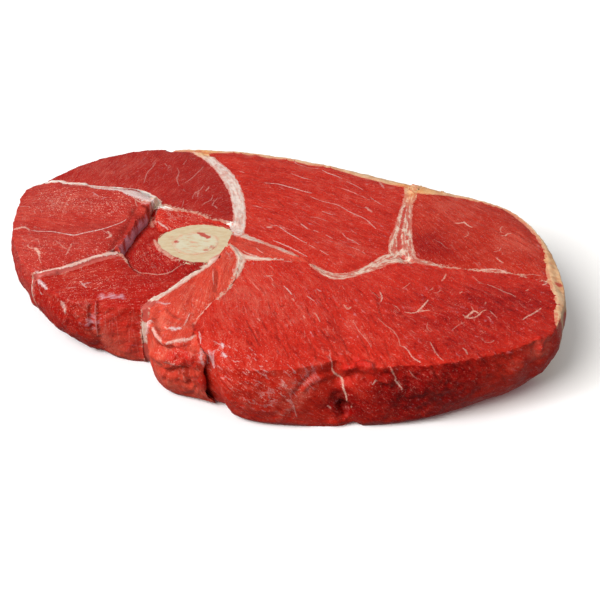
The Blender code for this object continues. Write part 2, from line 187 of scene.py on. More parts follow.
def roughField(places, seed):
    # smooth noise between about -1 and 1; places are in cells
    cell = np.floor(places).astype(np.int64)
    part = places - cell
    ease = part ** 3 * (part * (part * 6 - 15) + 10)
    total = np.zeros(len(places))
    for corner in itertools.product((0, 1), repeat=3):
        at = cell + np.array(corner)
        code = at[:, 0] * 73856093 ^ at[:, 1] * 19349663 ^ at[:, 2] * 83492791 ^ (seed + 1) * 2654435761
        code = (code ^ (code >> 13)) * 1274126177 & 0xFFFFFFFF
        code = (code ^ (code >> 15)) * 668265263 & 0xFFFFFFFF
        code = code ^ (code >> 16)
        pull = np.stack([(code >> shift & 1023) / 511.5 - 1 for shift in (0, 10, 20)], 1)
        weight = np.prod(np.where(np.array(corner) == 1, ease, 1 - ease), axis=1)
        total += weight * (pull * (part - np.array(corner))).sum(1)
    return total * 1.3


def easeOff(distance, reach):
    # 1 at no distance, falling smoothly to 0 at the reach
    share = np.clip(1 - distance / reach, 0, 1)
    return share * share * (3 - 2 * share)


# what a face of a piece is
topZone, outerZone, innerZone, underZone = range(4)
besideNothing, besideLean, besideFat, besideBone = range(4)
refineSet = {
    "rounds": 3,  # each halves the edges, from 5.6 mm at first to 0.7 mm
    "gapSeen": 1.2,  # mm, a wider gap than this beside a wall shows the wall
    "topMark": 0.5,  # how far upwards a top face has to look
    "belowEdge": 1.2,  # mm, how far below a wall's top edge the second look is taken
    "belowLedge": 4.0,  # mm, how far below a rim a seam of fat is looked for
}
farOff = 99.0  # mm, stands for the distance to something that a piece doesn't have


def besideWhat(place, direction):
    found = solids.ray_cast(place + direction * 0.02 * mm, direction, refineSet["gapSeen"] * mm)
    if found[0] is None:
        return besideNothing
    name = solidOwner[found[2]]
    if name.startswith("fat"):
        return besideFat
    return besideBone if name in ("femur", "marrow") else besideLean


def zoneOf(face):
    if face.normal.z > refineSet["topMark"]:
        return topZone, besideNothing
    centre = face.calc_center_median()
    if face.normal.z < -refineSet["topMark"] and centre.z < 3 * mm:
        return underZone, besideNothing
    upper = max(vert.co.z for vert in face.verts) - refineSet["belowEdge"] * mm
    high = centre + Vector((0, 0, max(upper - centre.z, 0)))
    near, nearTop = besideWhat(centre, face.normal), besideWhat(high, face.normal)
    if near == besideNothing or nearTop == besideNothing:
        return outerZone, besideNothing
    return innerZone, nearTop


def roundOff(shape, zone, crisp):
    # open surfaces are averaged all round, and an edge against a neighbour, or a crisp rim, only along itself
    rim = {topZone, outerZone}
    free, moved = [], []
    for vert in shape.verts:
        kinds = {face[zone] for face in vert.link_faces}
        if kinds <= rim and not (crisp and kinds == rim):
            free.append(vert)
            continue
        if len(kinds) == 1:
            continue
        ends = []
        for edge in vert.link_edges:
            sides = {face[zone] for face in edge.link_faces}
            if len(sides) == 2 and (crisp or sides != rim):
                ends.append(edge.other_vert(vert))
        if len(ends) == 2:
            moved.append((vert, vert.co * 0.5 + (ends[0].co + ends[1].co) * 0.25))
    bmesh.ops.smooth_vert(shape, verts=free, factor=0.5, use_axis_x=True, use_axis_y=True, use_axis_z=True)
    for vert, place in moved:
        vert.co = place


def readAll(data, key, width=1, kind=np.int32):
    # one value, or a row of values, from each member of a mesh's list
    values = np.empty(len(data) * width, kind)
    data.foreach_get(key, values)
    return values.reshape(-1, width)


# edges, mm: over what length the lifts at a seam and at the rim fade, how coarsely the rim and the laps wander
edgeSet = {
    "seamFade": 3.6, "rimFade": 9.0, "rimReach": 6.0, "raggedReach": 5.0, "coarse": 4.2, "fine": 1.9,
    "lapCoarse": 2.6, "lapFine": 1.3, "leastLap": 0.25, "spreadReach": 4.0,
}


class Piece:
    # a fine copy of one solid, with its points as arrays in mm that can be moved and painted

    def __init__(self, nodeName, crispRounds=2):
        self.name = nodeName
        shape = bmesh.new()
        shape.from_mesh(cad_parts[nodeName].data)
        bmesh.ops.remove_doubles(shape, verts=shape.verts, dist=0.02 * mm)
        zone = shape.faces.layers.int.new("zone")
        beside = shape.faces.layers.int.new("beside")
        shape.normal_update()
        for face in shape.faces:
            face[zone], face[beside] = zoneOf(face)
        for step in range(refineSet["rounds"]):
            fine = {edge for face in shape.faces if face[zone] < innerZone for edge in face.edges}
            bmesh.ops.subdivide_edges(shape, edges=list(fine), cuts=1, use_grid_fill=True)
            bmesh.ops.triangulate(shape, faces=[face for face in shape.faces if len(face.verts) > 3])
            roundOff(shape, zone, step < crispRounds)
        self.mesh = bpy.data.meshes.new(nodeName + "_cut")
        shape.to_mesh(self.mesh)
        shape.free()
        self.points = readAll(self.mesh.vertices, "co", 3, np.float32).astype(float) / mm
        self.faces = readAll(self.mesh.loops, "vertex_index").reshape(-1, 3)
        self.zones = readAll(self.mesh.attributes["zone"].data, "value").ravel()
        self.beside = readAll(self.mesh.attributes["beside"].data, "value").ravel()
        walls = self.zones == innerZone
        self.open = self.touches(self.zones < innerZone)
        self.top = self.touches(self.zones == topZone)
        self.under = self.touches(self.zones == underZone)
        self.rim = self.top & self.touches(self.zones == outerZone)
        self.seam = self.open & self.touches(walls)
        self.outward = self.facing(walls)
        self.toSeam, self.nearSeam = self.distanceTo(self.seam)
        self.toFat = self.distanceTo(self.seam & self.touches(walls & (self.beside == besideFat)))[0]
        self.toRim, nearRim = self.distanceTo(self.rim)
        self.rimWay = (self.facing(self.zones == outerZone) * np.array([1.0, 1.0, 0.0]))[nearRim]
        self.normals = self.facing(self.zones < innerZone)
        self.wallShare = np.clip(1.3 - 1.6 * self.normals[:, 2], 0, 1)
        self.start = self.points.copy()
        self.paint = {}

    def touches(self, chosen):
        hit = np.zeros(len(self.points), bool)
        hit[self.faces[chosen].ravel()] = True
        return hit

    def facing(self, chosen):
        # the way each point looks, from the chosen faces alone
        corner = self.points[self.faces[chosen]]
        across = np.cross(corner[:, 1] - corner[:, 0], corner[:, 2] - corner[:, 0])
        total = np.zeros_like(self.points)
        for k in range(3):
            for axis in range(3):
                total[:, axis] += np.bincount(
                    self.faces[chosen][:, k], across[:, axis], minlength=len(self.points)
                )
        return total / np.maximum(np.linalg.norm(total, axis=1, keepdims=True), 1e-9)

    def distanceTo(self, marked):
        # for each open point: how far the nearest marked point is, and which one it is
        apart = np.full(len(self.points), farOff)
        nearest = np.zeros(len(self.points), int)
        index = np.flatnonzero(marked)
        if len(index) == 0:
            return apart, nearest
        tree = KDTree(len(index))
        for k, place in zip(index.tolist(), self.points[index].tolist()):
            tree.insert(place, k)
        tree.balance()
        found = [tree.find(place)[1:] for place in self.points[self.open].tolist()]
        apart[self.open] = [distance for _, distance in found]
        nearest[self.open] = [k for k, _ in found]
        return apart, nearest

    def ledge(self):
        # the rim points that stand above a seam of fat
        marked = np.zeros(len(self.points), bool)
        for k in np.flatnonzero(self.rim):
            way = Vector(self.rimWay[k]).normalized()
            low = Vector(self.start[k] * mm) + way * 0.3 * mm - Vector((0, 0, refineSet["belowLedge"] * mm))
            marked[k] = besideWhat(low, way) == besideFat
        return marked

    def push(self, amount):
        # moves the open points outwards by an amount in mm, and keeps the underside flat on its plane
        amount = np.where(self.open & ~self.under, amount, 0.0)
        self.points += self.normals * amount[:, None]
        self.points[:, 2] = np.maximum(self.points[:, 2], 0.0)

    def squareUp(self, seamLift, rimLift, rimOut, calm=0.0):
        # the knife leaves the cut face level up to the seams, and a crisp, uneven edge all round
        level = np.clip(self.normals[:, 2] * 1.6 - 0.6, 0, 1) * self.open
        rimLift, rimOut = rimLift * (1 - calm), rimOut * (1 - calm)
        self.points[:, 2] += level * seamLift * np.exp(-self.toSeam / edgeSet["seamFade"])
        free = self.open & ~self.under
        lift = rimLift * np.exp(-self.toRim / edgeSet["rimFade"])
        lift *= np.where(self.top, 1.0, easeOff(self.toRim, edgeSet["rimReach"]))
        self.points[:, 2] += np.where(free, lift, 0.0)
        uneven = 0.7 * roughField(self.points / edgeSet["coarse"], 15)
        uneven += 0.4 * roughField(self.points / edgeSet["fine"], 16)
        out = np.where(free, rimOut * (1.0 + uneven) * easeOff(self.toRim, edgeSet["raggedReach"]), 0.0)
        self.points += self.rimWay * out[:, None]

    def lapOver(self, amount, drop, width):
        # the top edge reaches into the neighbour, so that no gap shows, and rolls down towards it
        wander = roughField(self.points / edgeSet["lapCoarse"], 5) + roughField(self.points / edgeSet["lapFine"], 6)
        edge = self.seam & (np.linalg.norm(self.outward, axis=1) > 0.5)
        flatOut = self.outward * np.array([1.0, 1.0, 0.0])
        reach = np.maximum(amount[0] + amount[1] * wander, edgeSet["leastLap"])
        self.points[edge] += (flatOut * reach[:, None])[edge]
        sink = drop * easeOff(self.toSeam, width)
        self.points[:, 2] -= np.where(self.open & ~self.under, sink, 0.0) * np.maximum(self.normals[:, 2], 0)

    def spread(self, laps):
        # the layer's edge reaches far over its neighbour: across, down, radius in mm, how far in mm, the way in plan
        facing = self.outward[self.nearSeam] * np.array([1.0, 1.0, 0.0])
        far = np.zeros(len(self.points))
        for across, down, radius, amount, wayX, wayY in laps:
            towards = facing[:, 0] * wayX + facing[:, 1] * wayY > 0.4
            far += towards * spotField(self, [(across, down, radius, amount)])
        far *= self.open * easeOff(self.toSeam, edgeSet["spreadReach"])
        self.points += facing * far[:, None]
        return far

    def finish(self, material):
        self.mesh.vertices.foreach_set("co", (self.points * mm).astype(np.float32).ravel())
        for key, values in self.paint.items():
            kind = "FLOAT_VECTOR" if values.ndim == 2 else "FLOAT"
            held = self.mesh.attributes.new(key, kind, "POINT")
            held.data.foreach_set("vector" if values.ndim == 2 else "value", values.astype(np.float32).ravel())
        for spare in ("zone", "beside", "custom_normal"):
            if spare in self.mesh.attributes:
                self.mesh.attributes.remove(self.mesh.attributes[spare])
        # the open surfaces are shaded smooth, up to a sharp edge where the hidden walls begin
        flat = self.zones == innerZone
        self.mesh.polygons.foreach_set("use_smooth", ~flat)
        edges = readAll(self.mesh.loops, "edge_index").reshape(-1, 3)
        count = len(self.mesh.edges)
        sides, flatSides = [np.bincount(part.ravel(), minlength=count) for part in (edges, edges[flat])]
        sharp = (flatSides > 0) & (flatSides < sides)
        marks = self.mesh.attributes.get("sharp_edge") or self.mesh.attributes.new("sharp_edge", "BOOLEAN", "EDGE")
        marks.data.foreach_set("value", sharp)
        self.mesh.materials.clear()
        self.mesh.materials.append(material)
        self.mesh.update()
        holder = intoScene(self.name + "_cut", self.mesh)
        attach(holder, "root")
        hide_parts(self.name)


def curveThrough(places, step=1.2):
    # a smooth line through the places, as points about one step apart
    places = [np.array(place, float) for place in places]
    if len(places) == 2:
        count = max(int(np.linalg.norm(places[1] - places[0]) / step), 1)
        return [places[0] + (places[1] - places[0]) * k / count for k in range(count + 1)]
    ends = [2 * places[0] - places[1]] + places + [2 * places[-1] - places[-2]]
    line = []
    for a, b, c, d in zip(ends, ends[1:], ends[2:], ends[3:]):
        count = max(int(np.linalg.norm(c - b) / step), 1)
        for k in range(count):
            t = k / count
            square, cube = 2 * a - 5 * b + 4 * c - d, 3 * b - a - 3 * c + d
            line.append(0.5 * (2 * b + (c - a) * t + square * t * t + cube * t ** 3))
    return line + [places[-1]]


def lineSeen(places, step=1.2):
    # a line through places of the picture, given as across and down in turn, laid on the slice
    seen = [placeSeen(*place) for place in zip(places[0::2], places[1::2])]
    seen = [place for place in seen if place is not None]
    return curveThrough(seen, step) if len(seen) > 1 else []


def strokeSegments(strokes):
    # strokes are a half width in mm, a strength, a tint and places of the picture; they thin out towards their ends
    found = []
    for halfWidth, strength, tint, *places in strokes:
        line = lineSeen(places)
        for k, (a, b) in enumerate(zip(line, line[1:])):
            along = (k + 0.5) / (len(line) - 1)
            taper = 0.35 + 0.65 * np.sin(np.pi * min(max(along, 0.0), 1.0)) ** 0.6
            found.append((a, b, halfWidth * taper, strength * min(0.4 + halfWidth, 1.0), tint))
    return found


def nearestStroke(piece, segments, reach=3.0):
    # for each open point: the way to the nearest stroke within the surface, in half widths, its distance,
    # strength and tint
    count = len(piece.points)
    way = np.full((count, 3), 9.0)
    near = np.full(count, 9.0)
    strong, tints = np.zeros(count), np.zeros(count)
    low, high = piece.start.min(0) - reach, piece.start.max(0) + reach
    chosen = np.flatnonzero(piece.open)
    places = piece.start[chosen]
    for a, b, halfWidth, strength, tint in segments:
        if (np.maximum(a, b) < low).any() or (np.minimum(a, b) > high).any():
            continue
        inside = ((places > np.minimum(a, b) - reach) & (places < np.maximum(a, b) + reach)).all(1)
        if not inside.any():
            continue
        index = chosen[inside]
        offset = places[inside] - a
        run = b - a
        share = np.clip(offset @ run / max(run @ run, 1e-9), 0, 1)
        apart = offset - share[:, None] * run
        normal = piece.normals[index]
        apart = apart - (apart * normal).sum(1, keepdims=True) * normal
        length = np.linalg.norm(apart, axis=1)
        better = length - halfWidth < near[index]
        index = index[better]
        near[index] = length[better] - halfWidth
        way[index] = apart[better] / halfWidth
        strong[index] = strength
        tints[index] = tint
    return way, near, strong, tints


def spotField(piece, spots):
    # soft spots: (across, down, radius in mm, amount)
    field = np.zeros(len(piece.points))
    for across, down, radius, amount in spots:
        place = placeSeen(across, down)
        if place is not None:
            field += amount * easeOff(np.linalg.norm(piece.start - place, axis=1), radius)
    return field


def reliefField(piece, ridges):
    # ridges and, with a height below 0, creases: half width in mm, height in mm, places of the picture
    field = np.zeros(len(piece.points))
    low, high = piece.start.min(0), piece.start.max(0)
    for halfWidth, height, *places in ridges:
        line = np.array(lineSeen(places, 1.0))
        if len(line) == 0 or (line.max(0) < low - halfWidth).any() or (line.min(0) > high + halfWidth).any():
            continue
        box = ((piece.start > line.min(0) - halfWidth) & (piece.start < line.max(0) + halfWidth)).all(1)
        index = np.flatnonzero(box & piece.open)
        if len(index) == 0:
            continue
        apart = np.linalg.norm(piece.start[index][:, None] - line[None], axis=2).min(1)
        field[index] += height * easeOff(apart, halfWidth)
    return field


def scattered(seed, count, length, angle, halfWidth, strength, tint, *region):
    # short strokes strewn over a region of the picture: lengths in pixels, angles clockwise from level
    draw = np.random.default_rng(seed)
    corners = np.array(region, float).reshape(-1, 2)
    before = np.roll(corners, 1, axis=0)
    strewn = []
    while len(strewn) < count:
        place = draw.uniform(corners.min(0), corners.max(0))
        crossed = (corners[:, 1] > place[1]) != (before[:, 1] > place[1])
        run = before - corners
        rise = np.where(run[:, 1] == 0, 1e-9, run[:, 1])
        atLeft = place[0] < corners[:, 0] + run[:, 0] * (place[1] - corners[:, 1]) / rise
        if (crossed & atLeft).sum() % 2 == 0:
            continue
        turn, reach = np.radians(draw.uniform(*angle)), draw.uniform(*length) / 2
        bend = turn + draw.uniform(-0.3, 0.3)
        middlePlace = place + reach * np.array([np.cos(turn), np.sin(turn)])
        end = middlePlace + reach * np.array([np.cos(bend), np.sin(bend)])
        strewn.append((draw.uniform(*halfWidth), draw.uniform(*strength), tint, *place, *middlePlace, *end))
    return strewn


# lean beef, cut across or along its fibres with a knife, wet: a dark red body with paler bundles of fibre, a net of
# very fine pale tissue, white flecks of fat and a broken gloss
leanSet = {
    "mottle": 8.0,  # mm across a darker or a lighter patch
    "bundle": 1.3,  # mm across one bundle of fibres
    "strand": 2.21,  # mm across the longer streaks that several bundles make
    "cell": 1.95,  # mm across a mesh of the net between the bundles
    "slit": 0.9,  # mm across the fine clefts between bundles
    "fibreEnd": 0.75,  # mm, drawn a little coarser than the fibre ends, to show at all
    "ragged": 1.1,  # mm, how coarsely the flecks' edges wander
    "tear": 1.7,  # mm, how coarsely clinging fat is torn
    "wet": 3.5,  # mm across a patch of gloss
    "netThread": "#D8705C",
    "fatFleck": "#E0B09A",
    "blueFleckAndGlint": "#D6C6CA",
    "tanFat": "#D8AC84",
    "edgeFat": "#D0A28E",
    "cleft": "#480200",
    "torn": "#BE1A10",
    "speckAndGlint": "#EEA694",
}


def paintedShare(tree, noise, much, painted, low, high, most):
    # a painted share with its edge broken up by a noise
    mixed = addNode(tree, "Math", 0, {0: noise, 1: much, 2: painted}, operation="MULTIPLY_ADD")
    return addNode(tree, "MapRange", 0, {0: mixed, 1: low, 2: high, 4: most})


def startMaterial(name, given, attributes):
    # a material with its place, its painted attributes and its colours
    material = bpy.data.materials.new(name)
    material.use_nodes = True
    tree = material.node_tree
    held = {"here": addNode(tree, "TexCoord", "Object")}
    for key in attributes:
        held[key] = addNode(tree, "Attribute", "Fac", attribute_name=key)
    paint = {key: linearColour(code) for key, code in given.items() if str(code)[0] == "#"}
    return material, tree, held, paint


def cutLeanBeef(name, given):
    material, tree, held, paint = startMaterial(name, leanSet | given, (
        "tone", "fresh", "rough", "sheen", "fringe", "veinNear", "veinStrong", "veinTint", "cut"))
    here = held["here"]
    grain = addNode(tree, "Attribute", "Vector", attribute_name="grain")
    veinWay = addNode(tree, "Attribute", "Vector", attribute_name="veinWay")
    longWay = addNode(tree, "VectorMath", 0, {0: grain, 1: (0.35, 1.0, 1.0)}, operation="MULTIPLY")
    noises = (
        ("mottle", here, mm, 3.0, 0.55), ("bundle", grain, 1, 3.0, 0.6), ("strand", longWay, 1, 2.0, 0.5),
        ("slit", grain, 1, 1.0, 0.5), ("fibreEnd", here, mm, 2.0, 0.7), ("tear", here, mm, 4.0, 0.65),
        ("wet", here, mm, 4.0, 0.65),
    )
    for key, along, unit, detail, roughness in noises:
        held[key] = addNode(tree, "TexNoise", 0, {
            "Vector": along, "Scale": 1 / (leanSet[key] * unit), "Detail": detail, "Roughness": roughness})
    # how light each place is: the painted tone, with the noises about their middles, less the fine clefts
    light = held["tone"]
    shares = {"mottle": 0.9, "bundle": given["streak"], "strand": 1.0, "fibreEnd": given["grainy"]}
    for key, share in shares.items():
        middled = addNode(tree, "Math", 0, {0: held[key], 1: 0.5}, operation="SUBTRACT")
        light = addNode(tree, "Math", 0, {0: middled, 1: share, 2: light}, operation="MULTIPLY_ADD")
    fineCleft = addNode(tree, "MapRange", 0, {0: held["slit"], 1: 0.37, 2: 0.27, 4: given["clefts"]})
    light = addNode(tree, "Math", 0, {0: light, 1: fineCleft}, operation="SUBTRACT")
    layers = []
    for key, darkest in (("deep", -2.0), ("mid", -1.0), ("pale", 0.0)):
        layers.append((addNode(tree, "MapRange", 0, {0: light, 1: darkest, 2: darkest + 1.0}), paint[key]))
    # the net of tissue between the bundles shows in patches
    cells = addNode(tree, "TexVoronoi", 0, {
        "Vector": grain, "Scale": 1 / leanSet["cell"], "Randomness": 1.0}, feature="DISTANCE_TO_EDGE")
    netLine = addNode(tree, "MapRange", 0, {0: cells, 1: 0.09, 2: 0.0, 4: given["net"]})
    netPatch = addNode(tree, "MapRange", 0, {0: held["mottle"], 1: 0.46, 2: 0.60})
    netLine = addNode(tree, "Math", 0, {0: netLine, 1: netPatch}, operation="MULTIPLY")
    # pale specks of fat, and painted glints on wet fibre ends
    specks = addNode(tree, "Math", 0, {0: held["slit"], 1: 0.35, 2: held["fibreEnd"]}, operation="MULTIPLY_ADD")
    specks = paintedShare(tree, held["rough"], 0.03, specks, 0.81, 0.9, 1.0)
    specks = addNode(tree, "Math", 0, {0: specks, 1: held["rough"]}, operation="MULTIPLY")
    # flecks and threads of fat, with ragged edges
    wander = addNode(tree, "TexNoise", 1, {
        "Vector": here, "Scale": 1 / (leanSet["ragged"] * mm), "Detail": 3.0, "Roughness": 0.7})
    wander = addNode(tree, "VectorMath", 0, {0: wander, 1: (0.5, 0.5, 0.5)}, operation="SUBTRACT")
    wander = addNode(tree, "VectorMath", 0, {0: wander, "Scale": 3.0}, operation="SCALE")
    veinWay = addNode(tree, "VectorMath", 0, {0: veinWay, 1: wander}, operation="ADD")
    apart = addNode(tree, "VectorMath", 1, {0: veinWay}, operation="LENGTH")
    vein = held["veinStrong"]
    limits = ((apart, 1.45, 0.45, 0.0), (held["veinNear"], 1.4, 0.8, 0.0), (held["tear"], 0.38, 0.52, 0.45))
    for field, outside, inside, least in limits:
        share = addNode(tree, "MapRange", 0, {0: field, 1: outside, 2: inside, 3: least})
        vein = addNode(tree, "Math", 0, {0: vein, 1: share}, operation="MULTIPLY")
    veinTan = addNode(tree, "MapRange", 0, {0: held["veinTint"], 1: 0.0, 2: -1.0})
    veinColour = paint["fatFleck"]
    for share, over in ((held["veinTint"], paint["blueFleckAndGlint"]), (veinTan, paint["tanFat"])):
        veinColour = addNode(tree, "Mix", 2, {0: share, 6: veinColour, 7: over}, data_type="RGBA")
    layers += [
        # torn meat is a bright, fresh red
        (paintedShare(tree, held["bundle"], 0.8, held["fresh"], 0.6, 1.3, 0.75), paint["torn"]),
        (netLine, paint["netThread"]), (specks, paint["speckAndGlint"]),
        # silverskin is thin and bluish over the meat, and the same paint lays a painted sheen on wet corners and
        # rims; fat clings along the seams
        (paintedShare(tree, held["bundle"], 1.5, held["sheen"], 0.95, 1.65, 0.9), paint["silverskinAndSheen"]),
        (paintedShare(tree, held["tear"], 2.4, held["fringe"], 1.85, 2.2, 0.8), paint["edgeFat"]),
        # the clefts are painted near black, as painted shade in the groove
        (vein, veinColour), (held["cut"], paint["cleft"]),
    ]
    colour = paint["dark"]
    for share, over in layers:
        colour = addNode(tree, "Mix", 2, {0: share, 6: colour, 7: over}, data_type="RGBA")
    # wet, with the gloss broken up
    dull = addNode(tree, "MapRange", 0, {
        0: held["wet"], 1: 0.35, 2: 0.65, 3: given["gloss"] - 0.1, 4: given["gloss"] + 0.2})
    height = 0.0
    for field, share in ((held["bundle"], 0.7), (held["slit"], 0.7), (held["fibreEnd"], 0.5), (vein, 0.2)):
        height = addNode(tree, "Math", 0, {0: field, 1: share, 2: height}, operation="MULTIPLY_ADD")
    bump = addNode(tree, "Bump", 0, {"Height": height, "Distance": 0.6 * mm, "Strength": 1.0})
    feed(tree, tree.nodes["Principled BSDF"], {
        "Base Color": colour, "Roughness": dull, "Normal": bump, "Specular IOR Level": 0.11,
        "Subsurface Weight": 0.08, "Subsurface Radius": (1.0, 0.2, 0.12), "Subsurface Scale": 1.0 * mm})
    return material


# beef fat, hard and cold, trimmed with a knife: cream to white, waxy and a little see-through, pink where a
# bloodstain or thin meat lies under it
fatSet = {
    "fine": 1.3,  # mm
    "lump": 3.6,  # mm
    "streak": 1.3,  # mm across a streak that runs along the seam
    "bloodShadeRed": "#B02A1C",
    "tan": "#D08848",
    "tanLight": "#DEA468",
}


def trimmedFat(name, given):
    material, tree, held, paint = startMaterial(name, fatSet | given, ("bloodAndShade", "edge", "aged"))
    here = held["here"]
    strip = addNode(tree, "Attribute", "Vector", attribute_name="strip")
    for key, along, unit, detail, roughness in (
            ("lump", here, mm, 3.0, 0.55), ("fine", here, mm, 2.0, 0.55), ("streak", strip, 1, 3.0, 0.6)):
        held[key] = addNode(tree, "TexNoise", 0, {
            "Vector": along, "Scale": 1 / (fatSet[key] * unit), "Detail": detail, "Roughness": roughness})
    body = paintedShare(tree, held["lump"], 0.6, held["streak"], 0.68, 0.88, 1.0)
    colour, tan = [
        addNode(tree, "Mix", 2, {0: body, 6: paint[dark], 7: paint[light]}, data_type="RGBA")
        for dark, light in (("shade", "light"), ("tan", "tanLight"))]
    # pink streaks where thin meat lies over it, fewer where it is aged
    reach = given["pinkShare"] * 0.4
    stain = paintedShare(
        tree, held["streak"], 1.4, held["lump"], 1.08 + reach, 0.82 + reach, given["stain"])
    notAged = addNode(tree, "MapRange", 0, {0: held["aged"], 1: 0.0, 2: 1.0, 3: 1.0, 4: 0.25})
    stain = addNode(tree, "Math", 0, {0: stain, 1: notAged}, operation="MULTIPLY")
    layers = (
        (held["aged"], tan), (stain, paint["pink"]),
        # meat shows through at the thin edge
        (paintedShare(tree, held["lump"], 1.6, held["edge"], 1.35, 1.9, 0.75), paint["thinEdge"]),
        # bloodstains, and red painted as shade in crevices and under a seam's edge
        (paintedShare(tree, held["fine"], 1.2, held["bloodAndShade"], 1.0, 1.4, 0.9), paint["bloodShadeRed"]),
    )
    for share, over in layers:
        colour = addNode(tree, "Mix", 2, {0: share, 6: colour, 7: over}, data_type="RGBA")
    dull = addNode(tree, "MapRange", 0, {
        0: held["lump"], 1: 0.35, 2: 0.65, 3: given["gloss"] - 0.12, 4: given["gloss"] + 0.15})
    bump = addNode(tree, "Bump", 0, {"Height": held["streak"], "Distance": 0.7 * mm, "Strength": given["bumpy"]})
    feed(tree, tree.nodes["Principled BSDF"], {
        "Base Color": colour, "Roughness": dull, "Normal": bump, "Specular IOR Level": 0.35,
        "Subsurface Weight": 0.15, "Subsurface Radius": (1.0, 0.6, 0.45), "Subsurface Scale": 1.5 * mm})
    return material
